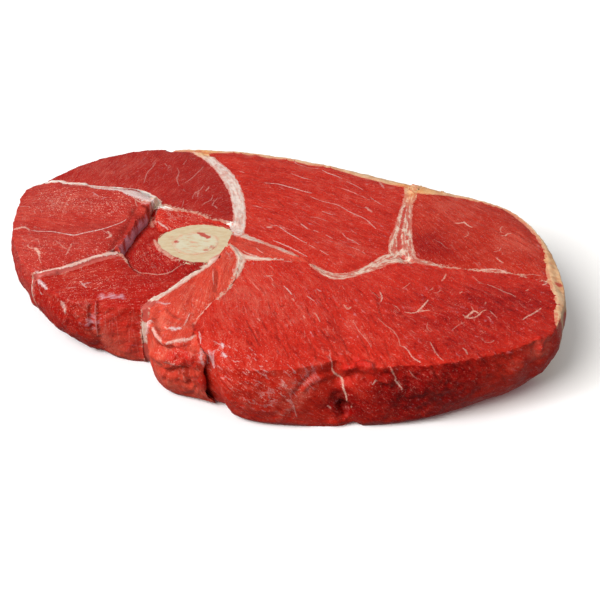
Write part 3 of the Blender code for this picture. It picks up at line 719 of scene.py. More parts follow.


# pale marks that lie in the lean, some of them painted glints. Each is a half width in mm, a strength, a tint (0 warm
# fat,
# 1 bluish white for silverskin and painted glints, -1 tan) and the places of the picture that it runs through, across
# and down in turn
strokes = [
    # the left tip: the white tendon across it, its hook, and the forked fleck below
    (0.55, 0.95, 0.5, 32, 231, 50, 231.5, 58, 232.5, 67, 234, 75, 235, 82, 233.5, 90, 232, 100, 230, 108, 227.5,
     115, 225, 121, 223, 127, 220), (0.8, 0.7, 0.2, 15, 231, 20, 229, 25, 228, 29, 230),
    (0.7, 0.8, 0.2, 108, 232, 111, 236, 107, 238), (0.3, 0.5, 0.2, 103, 231, 108, 234),
    (0.9, 0.85, 0.1, 35, 249, 38, 252, 39.5, 257),
    (0.45, 0.7, 0.1, 27, 246, 31, 249, 37, 249, 39, 255, 39.5, 260, 41, 264),
    (0.3, 0.5, 0.1, 27, 246, 33, 241, 38, 240, 40, 247), (0.35, 0.5, 0.2, 55, 240, 60, 244, 66, 249, 69, 250),
    (0.4, 0.55, 0.2, 72, 243, 69, 250, 66, 256), (0.35, 0.5, 0.8, 100, 199, 108, 197),
    (0.45, 0.5, 0.9, 93, 193, 98, 196), (0.3, 0.5, 0.5, 20, 208, 28, 207),
    (0.4, 0.55, 0.8, 143, 206, 148, 208, 151, 210),
    # the seam between the tip and the outer muscle: its thin left end, its broad part and its cream lower fringe
    (0.9, 0.6, 0.0, 154, 242, 156, 249, 160, 255, 166, 260, 172, 264),
    (0.5, 0.6, 0.0, 172, 265, 180, 267, 190, 268, 198, 267), (1.0, 2.0, 0.5, 80, 185, 85, 186, 90, 187, 95, 188),
    (1.6, 2.2, 0.6, 92, 187.8, 100, 188.8, 108, 189.5, 115, 190, 122, 190.8),
    (2.2, 2.4, 0.6, 118, 190.8, 125, 191.4, 132, 192.4, 138, 193.6, 144, 195.2, 150, 199, 157, 203.5),
    (2.2, 2.4, 0.6, 124, 192.2, 130, 194, 136, 196, 142, 198, 148, 200.8, 154, 204.4, 160, 208),
    (1.6, 0.9, 0.3, 156, 205, 164, 208.5, 172, 211), (0.45, 0.9, 0.8, 48, 183.5, 60, 183, 72, 184, 80, 185),
    (0.5, 0.7, 0.1, 133, 198, 140, 202, 150, 206, 158, 211), (0.4, 0.6, 0.1, 135, 200, 138, 207),
    (0.4, 0.7, 0.2, 163, 208, 172, 209, 182, 210, 190, 210, 197, 212, 205, 214.5, 212, 217),
    # the outer muscle: hair lines between its bundles
    (0.3, 0.55, 0.4, 156, 163, 152, 168, 147, 173, 144, 183), (0.25, 0.4, 0.4, 170, 165, 168, 169),
    (0.3, 0.5, 0.4, 177, 168, 179, 172, 178, 176, 177, 180, 179, 186), (0.35, 0.5, 0.4, 165, 164, 167, 166),
    (0.25, 0.45, 0.4, 183, 165, 187, 160), (0.3, 0.55, 0.4, 204, 167, 196, 174, 192, 178, 185, 183),
    (0.4, 0.7, 0.3, 209, 187, 206, 191), (0.3, 0.5, 0.4, 204, 185, 200, 190, 195, 193, 192, 199),
    (0.3, 0.5, 0.3, 199, 192, 197, 197), (0.3, 0.55, 0.3, 213, 195, 211, 200, 205, 203, 202, 206),
    (0.3, 0.55, 0.3, 218, 198, 214, 202, 212, 206), (0.4, 0.55, 0.3, 215, 206, 217, 208),
    (0.25, 0.45, 0.4, 184, 200, 183, 205, 181, 209), (0.25, 0.4, 0.4, 183, 190, 186, 192),
    (1.1, 0.7, 0.4, 224, 222, 228, 222),
    # the seam under the tip: its nub, the lip below it and the cream wedge at its right end
    (0.5, 0.8, 0.5, 35, 273, 42, 273, 50, 271, 57, 269, 65, 267, 72, 264, 78, 261.5, 85, 260),
    (0.4, 0.75, 0.4, 85, 260, 92, 258, 97, 256.5, 101, 257, 106, 253, 112, 251, 117, 249.5, 121, 247),
    (0.6, 0.5, 0.0, 50, 275, 62, 272, 75, 267, 90, 261), (0.9, 0.75, 0.1, 121, 256, 124, 261, 127, 265),
    (0.5, 0.6, 0.0, 115, 257, 121, 256),
    (0.35, 0.75, 0.1, 127, 267, 130, 269.5, 134, 271, 140, 273.5, 148, 274, 155, 275, 162, 275, 170, 273, 180,
     269, 187, 266),
    # the inner muscle: streaks, dashes and the white stripes of its left wall
    (0.5, 0.7, 0.6, 80, 282, 83, 285, 86, 288), (0.5, 0.6, 0.9, 84, 284, 90, 283),
    (0.4, 0.5, 0.5, 66, 289, 76, 288), (1.0, 0.85, 0.8, 38, 280, 42, 284, 48, 290),
    (0.5, 0.6, 0.4, 40, 290, 42, 294), (1.3, 0.85, 0.3, 62, 303, 64, 307, 65, 311),
    (0.5, 0.5, 0.3, 64, 309, 65, 314), (0.4, 0.35, 0.6, 96, 303, 95, 312, 96, 324, 98, 336),
    # the tan tendon beside the crease, and the membrane above the bone
    (1.3, 0.45, 0.0, 150, 216, 151, 222, 153, 228), (0.6, 0.7, 0.3, 158, 211, 156, 218, 157, 224),
    (0.7, 0.8, 0.4, 159, 223, 163, 227, 170, 229),
    (0.7, 0.6, 0.2, 157, 243, 161, 250, 166, 252, 170, 257, 180, 262, 190, 264),
    # the flap: the pale membrane, a painted highlight in a white cluster and the fat of its curled rim
    (0.7, 0.5, 0.9, 153, 304, 158, 304, 165, 305, 170, 304), (1.5, 0.95, 0.7, 171, 329, 175, 330, 179, 329),
    (0.5, 0.7, 0.3, 165, 327, 168, 330), (0.45, 0.8, 0.3, 190, 315, 187, 321, 184, 326),
    (1.5, 0.95, 0.5, 153, 324, 150, 330, 147, 337), (0.8, 0.8, 0.5, 147, 337, 146, 341),
    (0.8, 0.8, 0.3, 155, 330, 158, 337, 163, 342, 164, 346),
    (0.9, 0.85, 0.3, 168, 345, 175, 343, 182, 342, 189, 341, 194, 339),
    (0.4, 0.5, 0.3, 213, 270, 213, 277, 214, 285), (0.5, 0.6, 0.3, 166, 361, 171, 363, 177, 362),
    (0.4, 0.5, 0.2, 150, 363, 153, 369, 155, 374), (0.4, 0.6, 0.4, 233, 270, 233, 274),
    (0.4, 0.5, 0.3, 226, 252, 229, 255),
    # the thin seams that run on from the thick ones
    (0.55, 0.9, 0.2, 240, 277, 236, 282, 231, 288, 226, 294, 220, 299, 212, 305, 205, 312, 197, 320),
    (0.3, 0.6, 0.1, 205, 312, 199, 318, 196, 324, 195, 330),
    (0.55, 0.8, 0.2, 243, 252, 248, 255, 256, 258, 264, 260, 275, 262, 283, 263),
    (0.4, 0.75, 0.3, 285, 263.5, 292, 264), (0.45, 0.85, 0.2, 400, 262, 415, 263, 430, 265, 442, 267.5, 455, 269),
    (0.5, 0.85, 0.2, 480, 270, 490, 270.5, 500, 271.5, 510, 273, 522, 275.5),
    (0.3, 0.5, 0.2, 522, 275.5, 532, 276, 541, 277), (0.8, 0.8, 0.2, 543, 286, 547, 284, 549, 280, 548, 277),
    (0.4, 0.6, 0.4, 256, 248, 259, 251, 263, 254),
    # the bottom round: white dashes along its bundles
    (0.35, 0.7, 0.6, 283, 162, 293, 164, 300, 166, 318, 169.5),
    (0.4, 0.85, 0.5, 322, 171, 328, 174, 335, 176, 342, 179), (0.35, 0.65, 0.5, 347, 182, 356, 186, 363, 190),
    (0.35, 0.6, 0.5, 370, 197, 376, 201, 382, 205), (0.8, 0.5, 0.4, 379, 183, 384, 188),
    (0.3, 0.4, 0.5, 245, 158, 262, 157.5), (0.35, 0.65, 0.5, 291, 174, 303, 178, 312, 180),
    (0.4, 0.85, 0.5, 264, 183, 278, 184, 292, 188, 306, 192, 312, 193),
    (0.3, 0.6, 0.5, 341, 188, 352, 192, 370, 200),
    (0.35, 0.7, 0.5, 310, 196, 322, 201, 338, 205, 350, 212, 365, 219, 375, 228),
    (0.35, 0.6, 0.5, 253, 206, 262, 208), (0.35, 0.6, 0.5, 322, 211, 333, 215),
    (0.3, 0.5, 0.5, 310, 217, 316, 217, 328, 221), (0.45, 0.85, 0.5, 301, 224, 308, 229),
    (0.35, 0.6, 0.5, 314, 230, 318, 232), (0.4, 0.8, 0.5, 272, 225, 278, 226, 288, 233, 302, 241, 307, 243),
    (0.35, 0.6, 0.5, 309, 245, 315, 248), (0.35, 0.6, 0.5, 320, 250, 328, 255),
    (0.4, 0.8, 0.5, 273, 241, 283, 245, 290, 248, 303, 255, 307, 257), (0.35, 0.6, 0.5, 326, 235, 332, 238),
    (0.35, 0.65, 0.5, 342, 233, 347, 238, 354, 241, 360, 245), (0.3, 0.5, 0.5, 351, 230, 357, 234),
    (0.35, 0.6, 0.5, 349, 246, 356, 249, 360, 251), (0.35, 0.6, 0.5, 362, 252, 365, 254),
    (0.8, 0.55, 0.3, 366, 207, 372, 212), (0.4, 0.6, 0.4, 368, 222, 376, 229), (0.9, 0.55, 0.3, 268, 227, 271, 227),
    (0.4, 0.5, 0.4, 240, 172, 244, 173),
    # the tan corner of the cap between the bottom round and the eye of round
    (3.4, 0.95, -1.0, 404, 185, 414, 189, 424, 191, 434, 192, 446, 193),
    (2.4, 0.95, -1.0, 408, 190, 412, 196, 411, 202),
    # the eye of round: two curled flecks and a few short ones
    (0.55, 0.85, 0.1, 455, 223, 460, 223, 464, 222, 468, 225, 472, 227),
    (0.4, 0.6, 0.1, 502, 227, 500, 230, 501, 232), (0.5, 0.7, 0.1, 502, 236, 505, 236, 508, 234, 511, 234),
    (0.35, 0.5, 0.1, 464, 237, 468, 235, 468, 231), (0.5, 0.65, 0.1, 496, 258, 500, 261, 503, 263),
    (0.35, 0.45, 0.3, 494, 252, 499, 251, 501, 248), (0.3, 0.4, 0.3, 436, 241, 441, 243, 445, 247),
    (0.35, 0.45, 0.3, 437, 265, 444, 267, 448, 270),
    # the top round, right: branched flecks of fat and fine threads
    (0.55, 0.85, 0.1, 428, 300, 425, 304, 421, 308, 417, 311),
    (0.5, 0.8, 0.1, 405, 312, 412, 313, 419, 311, 429, 310), (0.5, 0.7, 0.0, 446, 274, 445, 277, 442, 281),
    (0.35, 0.45, 0.1, 441, 290, 437, 293, 434, 293), (0.4, 0.6, 0.1, 430, 291, 433, 288),
    (0.35, 0.5, 0.1, 402, 289, 406, 286, 410, 283), (0.45, 0.6, 0.1, 460, 293, 462, 292),
    (0.7, 0.85, 0.0, 465, 318, 470, 314, 474, 311, 478, 313),
    (0.5, 0.75, 0.0, 463, 315, 468, 318, 476, 317, 483, 311, 486, 310), (0.35, 0.5, 0.0, 474, 311, 471, 306),
    (0.3, 0.45, 0.2, 465, 322, 457, 326, 452, 330), (0.35, 0.5, 0.3, 490, 311, 494, 315, 497, 318),
    (0.35, 0.5, 0.3, 488, 317, 491, 320), (0.5, 0.8, 0.1, 523, 320, 527, 317, 532, 315, 537, 312, 541, 309),
    (0.3, 0.5, 0.1, 472, 276, 478, 281, 484, 284),
    (0.35, 0.75, 0.2, 487, 284, 495, 287, 503, 291, 511, 294, 516, 297),
    (0.35, 0.45, 0.2, 485, 343, 491, 343, 494, 341), (0.4, 0.4, 0.1, 486, 302, 485, 304),
    (0.4, 0.5, 0.1, 526, 291, 528, 290),
    # its middle: threads along the bundles
    (0.45, 0.75, 0.2, 380, 292, 382, 297, 381, 302), (0.3, 0.5, 0.1, 370, 290, 375, 294, 379, 298),
    (0.35, 0.5, 0.1, 392, 304, 397, 307, 400, 311), (0.6, 0.6, 0.0, 344, 305, 348, 309, 351, 307),
    (0.3, 0.5, 0.2, 353, 320, 357, 328, 362, 335, 368, 342, 371, 348),
    (0.35, 0.5, 0.1, 378, 318, 385, 325, 392, 330, 398, 338, 400, 346),
    (0.45, 0.6, 0.2, 400, 346, 404, 347, 408, 351, 411, 356), (0.5, 0.65, 0.3, 411, 356, 415, 360, 420, 363),
    (0.4, 0.6, 0.2, 430, 342, 434, 350, 438, 357, 443, 362), (0.3, 0.5, 0.1, 428, 322, 427, 328, 431, 332),
    (0.45, 0.6, 0.2, 463, 349, 466, 352, 467, 356), (0.5, 0.6, 0.1, 390, 368, 393, 373, 396, 378),
    (0.3, 0.4, 0.2, 409, 371, 414, 377, 417, 380),
    # its upper left: fine dashes, bright where the fibres are cut
    (0.35, 0.55, 0.2, 266, 276, 271, 278, 273, 281), (0.45, 0.55, 0.1, 267, 276, 272, 276),
    (0.3, 0.5, 0.2, 270, 267, 273, 269), (0.35, 0.55, 0.2, 272, 284, 275, 287),
    (0.45, 0.85, 0.5, 284, 286, 288, 290, 292, 295), (0.4, 0.7, 0.4, 307, 296, 310, 298, 314, 301),
    (0.4, 0.6, 0.9, 317, 289, 321, 291), (0.3, 0.45, 0.2, 252, 282, 256, 287, 260, 291),
    (0.4, 0.6, 0.1, 303, 315, 305, 318), (0.4, 0.6, 0.1, 315, 313, 318, 318, 320, 322),
    (0.4, 0.6, 0.1, 258, 319, 260, 321), (0.4, 0.6, 0.1, 293, 299, 294, 301),
    # its front left corner: wet silverskin and cut fibre ends, with painted glints on them
    (0.8, 0.55, 0.8, 199, 348, 201, 354, 202, 361, 204, 366),
    (1.1, 0.55, 0.8, 209, 352, 211, 358, 212, 362, 214, 367), (0.7, 0.5, 0.8, 215, 352, 215, 357, 213, 361),
    (0.8, 0.85, 0.9, 222, 345, 223, 348), (0.7, 0.9, 0.9, 223, 354, 226, 358),
    (0.4, 0.8, 0.6, 200, 334, 202, 340, 202, 345),
    # the thread of fat that runs down its front wall, and the torn tail beside it
    (0.6, 0.9, 0.1, 331, 362, 333, 371, 338, 377, 342, 384, 345, 392, 348, 400, 350, 409),
    (0.3, 0.6, 0.4, 330, 352, 330, 360, 332, 368), (0.8, 0.4, 0.6, 287, 400, 291, 402, 293, 406),
    (0.4, 0.5, 0.4, 294, 406, 295, 412, 297, 417), (0.6, 0.7, 0.2, 395, 380, 399, 385, 402, 389),
    (0.5, 0.6, 0.2, 373, 384, 376, 380), (0.5, 0.6, 0.2, 328, 406, 330, 408),
]
# dark clefts, the same, where the tint has no say; their near-black paint is painted shade in the groove, and some
# mark shade alone: the crevice by the tip's sloping side, and painted shadows under the seam below the tip and under
# the strand over the flap's torn chunk
slits = [
    (1.0, 0.9, 0, 145, 209, 149, 214, 154, 221), (0.6, 0.5, 0, 78, 263, 92, 260, 106, 256, 118, 252),
    (0.4, 0.6, 0, 290, 255, 297, 259, 305, 262), (0.45, 0.6, 0, 278, 200, 282, 204, 285, 207),
    (0.5, 0.6, 0, 217, 270, 218, 278, 217, 286, 217, 293), (0.4, 0.7, 0, 247, 322, 252, 330, 256, 338, 260, 347),
    (0.35, 0.6, 0, 272, 318, 276, 326, 278, 336, 281, 345), (0.35, 0.6, 0, 261, 318, 265, 326, 268, 331),
    (0.35, 0.6, 0, 309, 339, 313, 346, 316, 353), (0.35, 0.6, 0, 325, 333, 329, 341, 333, 349, 335, 356),
    (0.35, 0.6, 0, 319, 301, 324, 307, 329, 312), (0.35, 0.6, 0, 335, 304, 339, 308, 342, 305),
    (0.35, 0.6, 0, 285, 311, 289, 317, 291, 321), (0.6, 0.7, 0, 281, 306, 284, 305),
    (0.5, 0.5, 0, 370, 290, 377, 295, 379, 308, 383, 321), (0.4, 0.5, 0, 356, 330, 362, 340, 368, 352, 371, 362),
    (0.4, 0.5, 0, 385, 340, 388, 352, 391, 362), (0.4, 0.6, 0, 340, 335, 345, 345, 348, 352),
    (0.5, 0.6, 0, 430, 365, 436, 375, 441, 383), (0.5, 0.5, 0, 452, 362, 458, 372, 464, 380),
    (0.5, 0.5, 0, 478, 355, 486, 364, 492, 370), (0.5, 0.6, 0, 500, 352, 507, 359, 512, 364),
    (0.6, 0.7, 0, 150, 310, 151, 318, 149, 324), (0.8, 0.8, 0, 194, 326, 195, 334, 193, 338),
    (0.5, 0.7, 0, 160, 346, 168, 349, 178, 347, 190, 344),
]
# short marks by the dozen: seed, count, length, angle, half width, strength, tint, corners of the region they fill
strewnStrokes = [
    # those on the top round's front left corner and front wall (seeds 2, 3 and 16) are partly painted glints on the
    # wet fibre
    (1, 42, (4, 12), (18, 34), (0.17, 0.27), (0.12, 0.36), 0.5, 250, 160, 385, 188, 392, 232, 345, 262, 250, 215),
    (2, 80, (2, 5), (15, 50), (0.26, 0.42), (0.23, 0.61), 0.6, 204, 335, 262, 350, 300, 372, 285, 408, 238, 404,
     206, 368),
    (3, 20, (3, 7), (10, 35), (0.26, 0.38), (0.2, 0.54), 0.5, 255, 368, 300, 380, 290, 418, 250, 410),
    (4, 80, (0.8, 2.2), (0, 180), (0.2, 0.34), (0.15, 0.5), 0.1, 45, 277, 92, 266, 125, 268, 178, 276, 150, 292,
     95, 297),
    (5, 95, (0.8, 2), (0, 180), (0.2, 0.36), (0.2, 0.6), 0.3, 30, 194, 85, 189, 142, 205, 146, 211, 110, 216, 60,
     211, 24, 214),
    (6, 45, (0.8, 2.6), (0, 180), (0.18, 0.3), (0.15, 0.4), 0.2, 30, 240, 118, 240, 100, 252, 50, 266),
    (7, 35, (0.8, 2.2), (0, 180), (0.2, 0.32), (0.15, 0.45), 0.2, 140, 236, 157, 250, 175, 264, 150, 271, 134, 262),
    (8, 45, (1.5, 5), (20, 70), (0.19, 0.29), (0.1, 0.32), 0.2, 418, 200, 470, 202, 535, 235, 545, 270, 460, 262,
     420, 235),
    (9, 60, (1.5, 6), (25, 60), (0.19, 0.31), (0.1, 0.32), 0.2, 350, 285, 540, 285, 545, 335, 440, 350, 380, 350),
    (10, 25, (3, 9), (95, 150), (0.15, 0.24), (0.1, 0.32), 0.4, 90, 165, 185, 152, 220, 195, 205, 208, 120, 187),
    (11, 40, (1, 3), (0, 180), (0.24, 0.38), (0.12, 0.43), 0.3, 155, 305, 205, 280, 215, 300, 192, 330, 165, 335),
    (12, 26, (10, 30), (78, 98), (0.21, 0.34), (0.06, 0.22), 0.2, 100, 305, 145, 305, 148, 365, 120, 345, 100, 325),
    (13, 30, (1.5, 5), (35, 65), (0.2, 0.3), (0.05, 0.25), 0.1, 350, 372, 440, 368, 540, 348, 500, 372, 420, 410,
     360, 410),
    (14, 18, (1.5, 5), (115, 145), (0.2, 0.3), (0.05, 0.25), 0.1, 355, 378, 400, 380, 410, 408, 365, 408),
    (15, 60, (2, 7), (50, 75), (0.19, 0.31), (0.1, 0.36), 0.2, 245, 300, 345, 285, 375, 345, 330, 362, 250, 345),
    (16, 24, (5, 12), (48, 66), (0.21, 0.34), (0.15, 0.43), 0.9, 296, 365, 325, 362, 300, 398, 288, 392),
    (17, 14, (1, 3), (0, 180), (0.24, 0.36), (0.2, 0.5), 0.3, 160, 213, 205, 216, 200, 221, 165, 222),
    (18, 16, (1, 2.5), (0, 180), (0.24, 0.36), (0.2, 0.43), 0.3, 222, 248, 234, 248, 232, 262, 226, 258),
    (19, 30, (2, 6), (10, 70), (0.24, 0.36), (0.12, 0.36), 0.1, 155, 350, 195, 348, 200, 380, 165, 375),
    (20, 26, (1, 3), (0, 180), (0.24, 0.36), (0.15, 0.36), 0.3, 20, 214, 40, 228, 36, 262, 18, 240),
    (21, 30, (2, 6), (40, 80), (0.24, 0.36), (0.1, 0.29), 0.2, 60, 292, 95, 300, 98, 330, 75, 318),
]
strewnSlits = [
    (31, 55, (3, 10), (54, 76), (0.24, 0.42), (0.3, 0.8), 0, 242, 302, 340, 290, 350, 352, 300, 360, 245, 348),
    (32, 45, (5, 16), (18, 34), (0.25, 0.38), (0.2, 0.45), 0, 252, 162, 385, 190, 390, 236, 340, 260, 262, 222),
    (33, 22, (5, 12), (45, 62), (0.25, 0.38), (0.2, 0.45), 0, 235, 290, 300, 270, 330, 300, 250, 325),
    (34, 26, (4, 10), (25, 50), (0.25, 0.35), (0.15, 0.35), 0, 350, 290, 540, 290, 540, 335, 380, 345),
    (35, 18, (3, 7), (30, 70), (0.25, 0.35), (0.15, 0.35), 0, 418, 205, 530, 235, 540, 268, 430, 260),
    (36, 34, (8, 22), (38, 62), (0.5, 0.9), (0.2, 0.5), 0, 350, 375, 440, 372, 520, 352, 490, 375, 420, 408),
    (37, 22, (12, 34), (78, 98), (0.3, 0.45), (0.15, 0.4), 0, 102, 306, 145, 306, 148, 362, 120, 345),
    (38, 30, (4, 9), (15, 40), (0.3, 0.42), (0.25, 0.5), 0, 215, 368, 300, 382, 290, 415, 240, 405),
    (39, 14, (4, 9), (40, 70), (0.25, 0.35), (0.15, 0.35), 0, 160, 280, 205, 275, 215, 300, 180, 320),
    (40, 20, (3, 8), (95, 150), (0.2, 0.3), (0.15, 0.35), 0, 100, 170, 200, 160, 215, 205, 130, 188),
    (41, 20, (4, 9), (150, 185), (0.25, 0.35), (0.15, 0.35), 0, 30, 212, 110, 212, 115, 245, 40, 262),
    (42, 14, (4, 9), (125, 150), (0.3, 0.45), (0.4, 0.7), 0, 178, 262, 205, 263, 190, 278, 165, 284),
    (43, 14, (4, 10), (40, 75), (0.35, 0.5), (0.3, 0.6), 0, 165, 355, 195, 352, 200, 385, 170, 380),
]
for settings in strewnStrokes:
    strokes += scattered(*settings)
for settings in strewnSlits:
    slits += scattered(*settings)

# ridges (height above 0) and creases (below 0) of the cut meat: half width in mm, height in mm, places
relief = [
    # the flap's curled rim, the fold under it and the torn chunk in front
    (3.0, 1.6, 153, 322, 150, 330, 147, 338), (2.5, 1.2, 155, 330, 159, 338, 165, 344, 180, 341, 193, 337),
    (3.5, -1.8, 158, 347, 168, 350, 180, 348, 192, 345),
    (4.5, 2.2, 152, 354, 165, 360, 178, 362, 188, 358, 196, 362), (3.5, -1.6, 160, 368, 170, 372, 178, 370),
    (4.0, 1.8, 192, 360, 196, 370, 201, 380, 205, 388), (3.0, -1.8, 172, 372, 180, 368, 188, 372, 190, 384),
    (3.5, -1.0, 160, 310, 158, 320, 163, 330), (3.0, 0.8, 164, 312, 172, 318, 182, 322, 190, 316),
    (2.5, -0.8, 217, 268, 217, 280, 216, 292),
    # the front left corner of the top round: soft ridges
    (3.5, 0.7, 200, 345, 202, 358, 206, 370), (2.5, -0.5, 205, 345, 207, 357, 211, 369),
    (3.5, 0.6, 212, 345, 213, 357, 218, 368),
    # the torn front rim, the hollow below it and the lit edge of the lobe beside it
    (3.0, 1.6, 346, 369, 354, 366, 362, 364, 371, 366), (6.0, -2.2, 340, 380, 352, 378, 364, 380),
    (5.0, -2.6, 336, 398, 341, 404, 346, 410), (3.0, 0.9, 304, 388, 312, 381, 322, 378, 333, 375),
    (3.0, -1.0, 296, 392, 303, 384, 312, 376), (2.2, 0.9, 373, 372, 378, 380, 386, 382),
    (3.5, 1.3, 538, 340, 540, 347, 541, 355), (3.0, -0.8, 533, 345, 534, 352),
    (2.0, 0.6, 440, 362, 470, 356, 500, 350, 530, 344),
    # the inner muscle's wall: an upright fold
    (2.5, 1.0, 96, 304, 96, 318, 98, 334), (2.5, -0.9, 91, 306, 91, 318, 93, 330),
    # the seam under the tip overhangs the inner muscle
    (2.0, -0.8, 50, 277, 62, 274, 75, 269, 90, 263, 105, 259),
]

# what the muscles share; their soft spots are across, down, radius in mm, amount
# the walls spots, laid on the sides alone, are painted light and shade
spotKinds = ("tones", "walls", "sheens", "roughs", "laps", "lifts", "crumples", "freshes")
plainLean = dict.fromkeys(spotKinds, ()) | {
    "slot": "lean_meat", "lean": 0.3, "dark": "#3C0000", "deep": "#8A0502", "pale": "#CA5847", "silverskinAndSheen": "#D0B4C0",
    "streak": 0.8, "grainy": 0.75, "clefts": 0.4, "net": 0.12, "speck": 0.35, "gloss": 0.36,
    "crisp": 2, "fringe": 1.3,
}
# where two muscles close up over the seam of fat between them
flapSeamLaps = [(231, 281, 8, 1.1), (222, 293, 9, 1.4)]
eyeSeamLaps = [(430, 266, 16, 0.7), (468, 269, 12, 1.6), (505, 272, 18, 0.7), (535, 277, 10, 1.0)]
